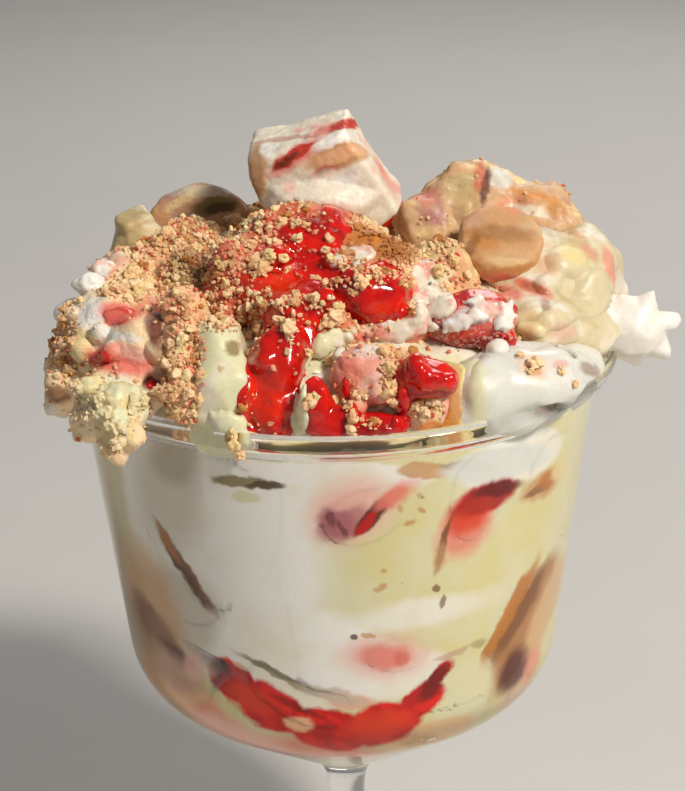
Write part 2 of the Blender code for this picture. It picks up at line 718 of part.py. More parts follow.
add_piece(turned("glass_cup", glass_outline(), HELPERS), "glass")
make_cores()
make_mound()
make_left_side()
make_right_side()
make_front()
make_cookies()
make_strawberries()
make_top_block()
make_fillings()
bpy.data.collections.remove(HELPERS)
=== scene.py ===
"""Looks of a strawberry banana pudding heaped in a clear stemmed dessert cup.

Metres, +Z up, origin at the centre of the foot's underside, front at -Y. Places on
the picture are pixels of a frame 685 wide and 791 high, seen from the camera.
"""
import json
import math
import random

import bmesh
import bpy
import numpy as np
from mathutils import Euler, Matrix, Vector, noise
from mathutils.bvhtree import BVHTree


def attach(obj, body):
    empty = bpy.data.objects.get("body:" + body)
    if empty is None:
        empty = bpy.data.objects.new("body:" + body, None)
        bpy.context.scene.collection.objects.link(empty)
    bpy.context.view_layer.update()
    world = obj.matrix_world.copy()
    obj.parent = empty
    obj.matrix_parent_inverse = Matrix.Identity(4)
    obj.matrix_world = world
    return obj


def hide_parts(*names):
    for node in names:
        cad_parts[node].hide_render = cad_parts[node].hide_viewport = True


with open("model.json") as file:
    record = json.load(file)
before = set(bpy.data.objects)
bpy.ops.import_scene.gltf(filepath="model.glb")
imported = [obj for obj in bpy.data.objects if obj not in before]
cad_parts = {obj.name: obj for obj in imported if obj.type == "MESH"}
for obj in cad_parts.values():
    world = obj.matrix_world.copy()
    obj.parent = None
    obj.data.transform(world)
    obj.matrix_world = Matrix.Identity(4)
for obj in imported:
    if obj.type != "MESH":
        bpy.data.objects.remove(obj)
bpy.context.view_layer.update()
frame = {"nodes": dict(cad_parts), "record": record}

MM = 0.001

# Camera
PICTURE = (685, 791)
LENS = 103.385                 # millimetres on a sensor 36 wide
SENSOR = 36
CAMERA_AT = Vector((0, -0.37761, 0.25594))
CAMERA_TILT = (20.7284, 0.1076, 1.1292)    # pitch down, yaw and roll, degrees
FOCAL = LENS / SENSOR * PICTURE[1]         # pixels

# Cup, as in the solids
RIM_HEIGHT = 124 * MM
RIM_RADIUS = 49 * MM
LIP_WIDTH = 2.8 * MM
LIP_DEPTH = 2.4 * MM
SHOULDER_RADIUS = 47 * MM
SHOULDER_DEPTH = 5 * MM
BOWL_DEPTH = 84.6 * MM
WALL = 1.2 * MM
WALL_RADIUS_TOP = 46.1 * MM
WALL_RADIUS_LOW = 38.3 * MM
TURN_DEPTH = 61.7 * MM
TURN_RADIUS = 15 * MM
TURN_INWARD = 0.94
TURN_UPWARD = 0.58
FLOOR_DEPTH = 82 * MM
FLOOR_RADIUS = 5.8 * MM
STEM_RADIUS = 3.6 * MM
FOOT_RADIUS = 36 * MM
FOOT_EDGE = 1.8 * MM
FOOT_RISE = 2.6 * MM
FILL_DEPTH = 5 * MM
CUP_STEPS = 144                # sides of the turned shapes
WALL_SLOPE = 0.126             # fall of the wall's normal, as a share of its length
UNDERSIDE_SLOPE = 1.49
TURN_BELOW = 2.8 * MM          # where the normal starts to turn, below the bowl's corner
TURN_SPAN = 9.8 * MM           # height over which it turns
PATCH_GROUP = 16               # painted patches that a shader works out together

# Lines of sight
CUP_ROOM = 70 * MM             # kept free of the search for the wall
SIGHT_START = 0.6              # share of the way where that search starts
SIGHT_STEP = 0.05 * MM
SIGHT_STEPS = 4000
MISSED_AT = 0.97               # share of the way to the cup's middle, where the wall is missed

# Soft solids
FILLING_VOXEL = 0.7            # millimetres
FILLING_SPARE = 0.75           # a filling's growth past the wall that it is pressed on, mm
CLOUD_SIZES = {"soft_lumps": 6, "crumb_grains": 1.3, "sauce_ripples": 2.4}    # millimetres

# Draped sheets
ZONE_MARGIN = 6                # pixels round a zone
EDGE_WAVES = (14, 6)           # waves of a sheet's edge, pixels
FINER_WAVES = 0.6              # share of the finer ones
SHEET_STEP = 1.5               # pixels from corner to corner
SHEET_END = -0.15              # how far outside its zone a sheet goes on
SHEET_DIP = 0.45               # how far its edge lies under the surface, mm
SHEET_TEAR = 3.2 * MM          # edges longer than this span a gap
SHEET_BODY = 1.0 * MM
SHEET_OUT = (0.6, 0.4)         # shares of the surface's own way out and of the way to the camera
BALL_FLATNESS = 0.8
BALL_RISE = 0.25               # share of a ball's radius that its middle stands out

# Crumbs
ZONE_DEPTH = 8 * MM
ZONE_REACH = 1.25              # a crumb zone's outer edge, as a share of its half sizes
ZONE_FADE = 0.5
CRUMB_SEED = 29
SEED_SEED = 41
FRONT_Y = 2 * MM               # crumbs in front of this follow the picture's zones
STEEPEST = -0.55               # least upward part of a face's normal that holds crumbs
COVER_REACH = 1.8 * MM         # crumbs with cover nearer than this are left out
COVER_TOUCH = 0.1 * MM         # unless it touches them
ON_SAUCE_SHARE = 0.8
SMALL_BIAS = 1.6               # above 1, more small crumbs than large ones

PALETTE = {                    # sRGB, 0 to 255
    "white": (240, 238, 232), "cool_white": (218, 220, 213), "cream_dim": (214, 202, 166),
    "clump": (210, 172, 132), "cream": (233, 226, 208), "cream_green": (222, 222, 184),
    "cream_shade": (196, 184, 162), "pudding": (218, 208, 152), "pudding_pale": (220, 214, 176),
    "custard": (240, 214, 160), "sauce": (190, 12, 8), "sauce_bright": (224, 26, 8),
    "sauce_dark": (96, 0, 4), "orange_red": (222, 60, 22), "maroon": (84, 14, 22),
    "pink": (228, 120, 106), "pale_pink": (234, 182, 168), "mauve": (170, 96, 104),
    "mauve_tan": (190, 146, 130), "crumb": (234, 190, 142), "crumb_pink": (226, 142, 112),
    "crumb_pale": (232, 212, 156), "crumb_light": (248, 218, 176), "soaked": (206, 84, 62),
    "peach": (236, 184, 142), "tan": (202, 154, 106), "golden": (186, 116, 40),
    "brown": (122, 72, 34), "dark_brown": (74, 42, 26), "olive": (128, 112, 62),
    "khaki": (194, 172, 122), "wafer": (170, 108, 50), "wafer_pale": (214, 174, 122),
    "banana": (232, 212, 148), "orange": (222, 134, 48), "seed": (222, 178, 96),
    "floor": (206, 204, 200),
}


def linear(name):
    """A palette colour in linear light."""
    channels = [value / 255 for value in PALETTE[name]]
    return [c / 12.92 if c <= 0.04045 else ((c + 0.055) / 1.055) ** 2.4 for c in channels] + [1]


# ---- camera and sight

def camera_matrix():
    """Place and turn of the camera."""
    pitch, yaw, roll = (math.radians(angle) for angle in CAMERA_TILT)
    turn = Euler((math.pi / 2 - pitch, 0, -yaw)).to_matrix() @ Matrix.Rotation(-roll, 3, "Z")
    return Matrix.Translation(CAMERA_AT) @ turn.to_4x4()


def make_camera():
    """Camera at the picture's angle."""
    bpy.ops.object.camera_add()
    camera = bpy.context.object
    camera.name = "front_camera"
    camera.matrix_world = camera_matrix()
    camera.data.lens = LENS
    camera.data.sensor_width = SENSOR
    camera.data.clip_start = 0.01
    bpy.context.scene.camera = camera


def line_of_sight(u, v):
    """Direction from the camera through a pixel."""
    turn = camera_matrix().to_3x3()
    across = (u - PICTURE[0] / 2) / FOCAL
    upward = (PICTURE[1] / 2 - v) / FOCAL
    return (turn @ Vector((across, upward, -1))).normalized()


def inner_radius(height):
    """Radius of the bowl's inside at a height."""
    depth = RIM_HEIGHT - height
    share = min(max(depth, 0) / TURN_DEPTH, 1)
    return WALL_RADIUS_TOP + (WALL_RADIUS_LOW - WALL_RADIUS_TOP) * share - WALL


def on_wall(u, v):
    """Place on the inside of the wall that a pixel shows, and the way out of it."""
    sight = line_of_sight(u, v)
    flat = math.hypot(sight.x, sight.y)
    near = (CAMERA_AT.length - CUP_ROOM) / flat * SIGHT_START
    for step in range(SIGHT_STEPS):
        place = CAMERA_AT + sight * (near + step * SIGHT_STEP)
        if math.hypot(place.x, place.y) <= inner_radius(place.z):
            break
    else:
        place = CAMERA_AT + sight * (-CAMERA_AT.y / sight.y * MISSED_AT)
    return place, Vector((place.x, place.y, 0)).normalized()


def on_heap(u, v):
    """Place on the heap's pieces that a pixel shows, and the way out of it."""
    sight = line_of_sight(u, v)
    place, normal, _, _ = HEAP_TREE.ray_cast(CAMERA_AT, sight)
    if place is None:
        place, normal = CAMERA_AT + sight * (-CAMERA_AT.y / sight.y), -sight
    return place, normal


def seen(u, v, cover):
    """Place and normal on the laid-on pieces or else the heap that a pixel shows."""
    place, normal = on_heap(u, v)
    over, way, _, distance = cover.ray_cast(CAMERA_AT, line_of_sight(u, v))
    if over is not None and distance < (place - CAMERA_AT).length:
        return over, way
    return place, normal


def pixel_size(place):
    """Width of a pixel at a place, in metres."""
    ahead = -(camera_matrix().to_3x3().col[2])
    return (place - CAMERA_AT).dot(ahead) / FOCAL


def tree_of(pieces):
    """Tree to cast rays on several pieces with."""
    corners, faces = [], []
    for piece in pieces:
        first = len(corners)
        corners.extend(vertex.co.copy() for vertex in piece.data.vertices)
        faces.extend([first + index for index in face.vertices] for face in piece.data.polygons)
    return BVHTree.FromPolygons(corners, faces)


# ---- shader building

class Socket:
    """A shader value that can be multiplied in Python."""

    def __init__(self, paint, output):
        self.paint = paint
        self.output = output

    def __mul__(self, other):
        return self.paint.maths("MULTIPLY", self, other)

    __rmul__ = __mul__


class Paint:
    """A material under construction on one Principled shader."""

    def __init__(self, name, finish):
        self.material = bpy.data.materials.new(name)
        self.material.use_nodes = True
        self.tree = self.material.node_tree
        self.shader = self.tree.nodes["Principled BSDF"]
        for socket, value in finish.items():
            self.shader.inputs[socket].default_value = value
        self.place = self.node("TexCoord", out="Object")
        self.waved = self.place

    def node(self, kind, settings=None, inputs=None, out=0):
        """Any node: its type, its settings, and its sockets' values or links."""
        made = self.tree.nodes.new("ShaderNode" + kind)
        for name, value in (settings or {}).items():
            if name == "stops":
                self.set_stops(made.color_ramp, value)
            else:
                setattr(made, name, value)
        for name, value in (inputs or {}).items():
            self.feed(made.inputs[name], value)
        return Socket(self, made.outputs[out])

    def set_stops(self, ramp, stops):
        """Stops of a colour ramp, each a position and a palette name."""
        while len(ramp.elements) < len(stops):
            ramp.elements.new(0.5)
        for element, (position, name) in zip(ramp.elements, stops):
            element.position = position
            element.color = linear(name)

    def feed(self, socket, value):
        """Give a socket a value or a link."""
        if isinstance(value, Socket):
            self.tree.links.new(value.output, socket)
        else:
            socket.default_value = value

    def maths(self, operation, first, second):
        """One Math node."""
        return self.node("Math", {"operation": operation}, {0: first, 1: second})

    def vector(self, operation, first, second=(0, 0, 0), scale=1.0, out="Vector"):
        """One Vector Math node."""
        inputs = {0: first, 3: scale} if operation == "SCALE" else {0: first, 1: second}
        return self.node("VectorMath", {"operation": operation}, inputs, out)

    def blend(self, share, under, over):
        """Colour under, with colour over it where the share is high."""
        under = linear(under) if isinstance(under, str) else under
        over = linear(over) if isinstance(over, str) else over
        return self.node("Mix", {"data_type": "RGBA"}, {0: share, 6: under, 7: over}, 2)

    def ramp(self, value, low, high, start=0.0, end=1.0):
        """Smooth step between two values."""
        return self.node("MapRange", {"interpolation_type": "SMOOTHSTEP"},
                         {"Value": value, "From Min": low, "From Max": high,
                          "To Min": start, "To Max": end})

    def noise(self, size, detail=3.0, rough=0.55, shift=0.0):
        """Cloudy noise with lumps of a size in millimetres."""
        where = self.vector("ADD", self.place, (shift, shift, shift)) if shift else self.place
        return self.node("TexNoise", {}, {"Vector": where, "Scale": 1 / (size * MM),
                                          "Detail": detail, "Roughness": rough}, "Fac")

    def wave(self, size, depth):
        """Waver the patches' edges by a depth, with waves of a size, in millimetres."""
        cloud = self.node("TexNoise", {}, {"Vector": self.place, "Scale": 1 / (size * MM),
                                           "Detail": 3.0, "Roughness": 0.6}, "Color")
        shift = self.vector("SUBTRACT", cloud, (0.5, 0.5, 0.5))
        self.waved = self.vector("ADD", self.waved,
                                 self.vector("SCALE", shift, scale=2 * depth * MM))

    def patch(self, where, u, v, wide, tall, turn=0, edge=0.8, deep=9.0):
        """Mask of an ellipse drawn on the picture and laid on what it shows.

        Half sizes in pixels, turn in degrees anticlockwise, depth in millimetres.
        """
        place, _ = where(u, v)
        pixel = pixel_size(place)
        axes = camera_matrix().to_3x3()
        angle = math.radians(turn)
        along = axes.col[0] * math.cos(angle) + axes.col[1] * math.sin(angle)
        upward = axes.col[1] * math.cos(angle) - axes.col[0] * math.sin(angle)
        frame_axes = Matrix((along, -axes.col[2], upward)).transposed()
        local = self.node("Mapping", {"vector_type": "TEXTURE"},
                          {"Vector": self.waved, "Location": place,
                           "Rotation": frame_axes.to_euler(),
                           "Scale": (wide * pixel, deep * MM, tall * pixel)})
        distance = self.vector("LENGTH", local, out="Value")
        return self.ramp(distance, 1 + edge / 2, max(1 - edge / 2, 0.02))

    def patches(self, colour, where, rows):
        """Colour with patches over it: colour name, strength, then what patch takes."""
        for index, (name, strength, *shape) in enumerate(rows):
            if index % PATCH_GROUP == PATCH_GROUP - 1:
                self.wait_for(colour)
            colour = self.blend(self.patch(where, *shape) * strength, colour, name)
        return colour

    def wait_for(self, colour):
        """Make the next patches come after a colour, so that few are held at a time."""
        trace = self.vector("SCALE", colour, scale=1e-9)
        self.waved = self.vector("ADD", self.waved, trace)

    def bump(self, height, strength, distance, normal=None):
        """Fine relief from a height, its distance in millimetres."""
        inputs = {"Strength": strength, "Distance": distance * MM, "Height": height}
        if normal:
            inputs["Normal"] = normal
        return self.node("Bump", {}, inputs)

    def finish(self, colour, roughness=None, normal=None):
        """Feed the shader and give the material."""
        fed = {"Base Color": colour, "Roughness": roughness, "Normal": normal}
        for socket, value in fed.items():
            if value is not None:
                self.feed(self.shader.inputs[socket], value)
        return self.material

    def two_tone(self, size, share, under, over, detail=3.0, rough=0.55):
        """Two colours mixed in clouds of a size in millimetres."""
        return self.blend(self.ramp(self.noise(size, detail, rough), *share), under, over)


SOFT = {"Subsurface Weight": 0.35, "Subsurface Radius": (1.0, 0.8, 0.55),
        "Subsurface Scale": 0.0022, "Specular IOR Level": 0.4}
WET = {"Subsurface Weight": 0.35, "Subsurface Radius": (1.0, 0.1, 0.05),
       "Subsurface Scale": 0.0028, "Coat Weight": 0.6, "Coat Roughness": 0.06,
       "Specular IOR Level": 0.3}
DRY = {"Subsurface Weight": 0.2, "Subsurface Radius": (1.0, 0.6, 0.35),
       "Subsurface Scale": 0.001, "Specular IOR Level": 0.3}


def soft_material(name, under, over, rows=(), share=(0.48, 0.62), size=6.0, rough=0.42,
                  relief=0.5, grain=1.1, finish=SOFT, smear=None):
    """Cream, cake or crumbed surface: two mixed colours, patches, grain and sheen."""
    paint = Paint(name, finish)
    colour = paint.two_tone(size, share, under, over)
    if smear:
        marks = paint.ramp(paint.noise(size * 0.7, 4, 0.6, 0.3), 0.58, 0.68)
        colour = paint.blend(marks * 0.7, colour, smear)
    paint.wave(3.5, 0.9)
    paint.wave(0.9, 0.3)
    colour = paint.patches(colour, on_heap, rows)
    fine = paint.noise(grain, 4, 0.6)
    tint = paint.ramp(fine, 0.3, 0.7, 0.0, 0.16)
    colour = paint.blend(tint, colour, "tan")
    roughness = paint.ramp(paint.noise(2.2, 2), 0.35, 0.65, rough - 0.1, rough + 0.12)
    return paint.finish(colour, roughness, paint.bump(fine, relief, 0.35))


# ---- shaping

def deselect_all():
    """Nothing selected and nothing active."""
    if bpy.context.object and bpy.context.object.mode != "OBJECT":
        bpy.ops.object.mode_set(mode="OBJECT")
    bpy.ops.object.select_all(action="DESELECT")
    bpy.context.view_layer.objects.active = None


def make_active(piece):
    """Select one piece alone."""
    deselect_all()
    piece.select_set(True)
    bpy.context.view_layer.objects.active = piece


def apply_modifier(piece, kind, **settings):
    """Add a modifier and apply it."""
    make_active(piece)
    modifier = piece.modifiers.new(kind.title(), kind)
    for name, value in settings.items():
        setattr(modifier, name, value)
    bpy.ops.object.modifier_apply(modifier=modifier.name)


def make_clouds():
    """Textures that relief is made from."""
    for name, size in CLOUD_SIZES.items():
        made = bpy.data.textures.new(name, "CLOUDS")
        made.noise_scale = size * MM
        made.noise_depth = 2


def roughen(piece, texture, height):
    """Relief of a height in millimetres, from a texture."""
    if height:
        apply_modifier(piece, "DISPLACE", texture=bpy.data.textures[texture],
                       texture_coords="GLOBAL", strength=height * MM, mid_level=0.5)


def copy_of(node, name):
    """A solid's mesh in a new object, its loose triangles joined."""
    source = frame["nodes"][node]
    piece = bpy.data.objects.new(name, source.data.copy())
    piece.data.materials.clear()
    bpy.context.scene.collection.objects.link(piece)
    make_active(piece)
    bpy.ops.object.mode_set(mode="EDIT")
    bpy.ops.mesh.select_all(action="SELECT")
    bpy.ops.mesh.remove_doubles(threshold=0.000002)
    bpy.ops.object.mode_set(mode="OBJECT")
    return piece


def smooth_faces(piece, angle=180):
    """Shade smooth, but for edges sharper than an angle."""
    make_active(piece)
    if angle >= 180:
        bpy.ops.object.shade_smooth()
    else:
        bpy.ops.object.shade_smooth_by_angle(angle=math.radians(angle))


def slot_of(node):
    """Material slot that the record gives a node."""
    rows = frame["record"]["subparts"]
    return next(row["material_slot"] for row in rows if row["node"] == node)


def settle(piece, slot, material, node=None):
    """Finish a piece: its material, its body and the solid it stands for; its slot is not used.
    """
    piece.data.materials.clear()
    piece.data.materials.append(material)
    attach(piece, "root")
    if node:
        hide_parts(node)


def soften(node, voxel, rounds, grow, relief=0.0, fine=0.0):
    """Smooth, finely divided form of a soft solid, with its relief."""
    piece = copy_of(node, "soft_" + node)
    apply_modifier(piece, "REMESH", mode="VOXEL", voxel_size=voxel * MM)
    apply_modifier(piece, "SMOOTH", factor=0.6, iterations=rounds)
    roughen(piece, "soft_lumps", relief)
    roughen(piece, "crumb_grains", fine)
    apply_modifier(piece, "DISPLACE", strength=grow * MM, mid_level=0)
    smooth_faces(piece)
    return piece


# ---- cup

def wall_radius(depth):
    """Outer radius of the bowl's wall at a depth below the rim."""
    return WALL_RADIUS_TOP + (WALL_RADIUS_LOW - WALL_RADIUS_TOP) * depth / TURN_DEPTH


def inner_turn(offset):
    """Corner between wall and underside, moved inward by an offset."""
    radius = WALL_RADIUS_LOW - TURN_INWARD * offset
    height = RIM_HEIGHT - TURN_DEPTH + TURN_UPWARD * offset
    return radius, height, TURN_RADIUS - offset


def rounded(corners):
    """Outline through (x, z, radius) corners, each rounded off by its radius."""
    points = []
    for index, (x, z, radius) in enumerate(corners):
        here = Vector((x, z))
        if radius == 0 or index in (0, len(corners) - 1):
            points.append(here)
            continue
        before = (Vector(corners[index - 1][:2]) - here).normalized()
        after = (Vector(corners[index + 1][:2]) - here).normalized()
        half = before.angle(after) / 2
        reach = radius / math.tan(half)
        centre = here + (before + after).normalized() * radius / math.sin(half)
        start = here + before * reach - centre
        sweep = start.angle_signed(here + after * reach - centre)
        steps = 4 if radius < 5 * MM else 12
        for step in range(steps + 1):
            points.append(centre + Matrix.Rotation(-sweep * step / steps, 2) @ start)
    return points


def turned(name, outline):
    """Solid turned about Z from an outline that starts and ends on the axis."""
    mesh = bpy.data.meshes.new(name)
    corners = [(point[0], 0, point[1]) for point in outline]
    mesh.from_pydata(corners, [(index, index + 1) for index in range(len(corners) - 1)], [])
    piece = bpy.data.objects.new(name, mesh)
    bpy.context.scene.collection.objects.link(piece)
    apply_modifier(piece, "SCREW", steps=CUP_STEPS, render_steps=CUP_STEPS,
                   use_merge_vertices=True, merge_threshold=0.00002)
    make_active(piece)
    bpy.ops.object.mode_set(mode="EDIT")
    bpy.ops.mesh.select_all(action="SELECT")
    bpy.ops.mesh.remove_doubles(threshold=0.000005)
    bpy.ops.mesh.normals_make_consistent(inside=False)
    bpy.ops.object.mode_set(mode="OBJECT")
    return piece


def cup_outline():
    """Half section of the cup."""
    top = RIM_HEIGHT
    foot_top = FOOT_EDGE + FOOT_RISE
    wall_top = wall_radius(SHOULDER_DEPTH)
    return rounded([
        (0, top - FLOOR_DEPTH, 0),
        (FLOOR_RADIUS, top - FLOOR_DEPTH, 3 * MM),
        inner_turn(WALL),
        (wall_top - WALL, top - SHOULDER_DEPTH, 2 * MM),
        (RIM_RADIUS - LIP_WIDTH - 0.2 * MM, top - 3.2 * MM, 2 * MM),
        (RIM_RADIUS - LIP_WIDTH, top, 1.0 * MM),
        (RIM_RADIUS, top, 1.1 * MM),
        (RIM_RADIUS, top - LIP_DEPTH, 0.8 * MM),
        (SHOULDER_RADIUS + 0.4 * MM, top - LIP_DEPTH - 0.3 * MM, 0.4 * MM),
        (SHOULDER_RADIUS, top - SHOULDER_DEPTH + 0.3 * MM, 0.6 * MM),
        (wall_top, top - SHOULDER_DEPTH - 0.2 * MM, 0.3 * MM),
        inner_turn(0),
        (STEM_RADIUS, top - BOWL_DEPTH, 8 * MM),
        (STEM_RADIUS - 0.5 * MM, foot_top + 12 * MM, 4 * MM),
        (STEM_RADIUS, foot_top, 3 * MM),
        (FOOT_RADIUS, FOOT_EDGE, 0.6 * MM),
        (FOOT_RADIUS, 0, 0.4 * MM),
        (0, 0, 0),
    ])


def bowl_space(name, reach):
    """Solid that fills the bowl and reaches into its wall."""
    top = RIM_HEIGHT
    upper = wall_radius(FILL_DEPTH) - WALL + reach
    return turned(name, rounded([
        (0, top - FILL_DEPTH + 0.4 * MM, 0),
        (upper, top - FILL_DEPTH + 0.4 * MM, 0),
        inner_turn(WALL - reach),
        (FLOOR_RADIUS, top - FLOOR_DEPTH - reach, 3 * MM),
        (0, top - FLOOR_DEPTH - reach, 0),
    ]))


def clear_plastic():
    """Clear plastic that lets light and shadow rays straight through."""
    paint = Paint("clear_plastic", {"Base Color": (0.97, 0.97, 0.96, 1), "Roughness": 0.03,
                                    "IOR": 1.4, "Transmission Weight": 1.0})
    marks = paint.noise(9, 3, 0.6)
    normal = paint.bump(marks, 0.15, 0.25)
    paint.feed(paint.shader.inputs["Normal"], normal)
    rays = paint.tree.nodes.new("ShaderNodeLightPath")
    through = paint.tree.nodes.new("ShaderNodeBsdfTransparent")
    shadow = Socket(paint, rays.outputs["Is Shadow Ray"])
    diffuse = Socket(paint, rays.outputs["Is Diffuse Ray"])
    share = paint.maths("MAXIMUM", shadow, diffuse)
    mixed = paint.node("MixShader", {}, {0: share, 1: Socket(paint, paint.shader.outputs[0]),
                                         2: Socket(paint, through.outputs[0])})
    output = paint.tree.nodes["Material Output"]
    paint.feed(output.inputs["Surface"], mixed)
    return paint.material


def make_cup():
    """The clear stemmed cup."""
    cup = turned("clear_dessert_cup", cup_outline())
    smooth_faces(cup, 40)
    settle(cup, "glass", clear_plastic(), "glass_cup")


# ---- fillings

FILLINGS = {                   # node: how far it reaches into the wall, mm; grown by, mm; rounds
    "pudding_layer": (0.10, 0.7, 3),
    "cream_layer": (0.14, 0.6, 4),
    "strawberry_sauce_layer": (0.20, 0.5, 4),
    "soaked_wafer_left": (0.22, 0.5, 4),
    "wafer_left": (0.30, 0.1, 2),
    "wafer_right": (0.26, 0.4, 4),
    "wafer_high_right": (0.26, 0.2, 4),
    "wafer_low_right": (0.26, 0.3, 4),
    "wafer_back": (0.30, 1.2, 3),
    "banana_slice_low": (0.28, 0.2, 4),
    "wall_strawberry_slice": (0.18, 0.2, 4),
    "wall_strawberry_right": (0.32, 0.2, 4),
    "wall_strawberry_low": (0.18, 0.2, 4),
    "wall_strawberry_back": (0.32, 0.2, 4),
}

CREAM_ON_WALL = (              # strength, u, v, half width, half height, turn, edge, depth
    (1.0, 228, 560, 84, 158, 9, 0.22, 30), (1.0, 180, 500, 70, 110, 0, 0.5, 30),
    (1.0, 340, 474, 90, 17, -4, 0.3, 20), (1.0, 515, 455, 62, 26, 16, 0.25, 20),
    (0.8, 325, 500, 40, 30, 20, 0.6, 14), (1.0, 320, 655, 84, 48, -14, 0.4, 20),
    (0.85, 425, 610, 78, 14, 10, 0.9, 20), (0.95, 390, 672, 58, 26, 8, 0.4, 20),
)

SAUCE_ON_WALL = (              # u, v, half width, half height, turn, edge, depth
    (234, 680, 32, 19, -46, 0.25, 12), (272, 706, 40, 23, -30, 0.25, 12),
    (328, 728, 44, 23, -12, 0.25, 12), (384, 722, 38, 24, 16, 0.25, 12),
    (420, 700, 28, 16, 44, 0.3, 12), (439, 674, 20, 7, 56, 0.4, 12),
)

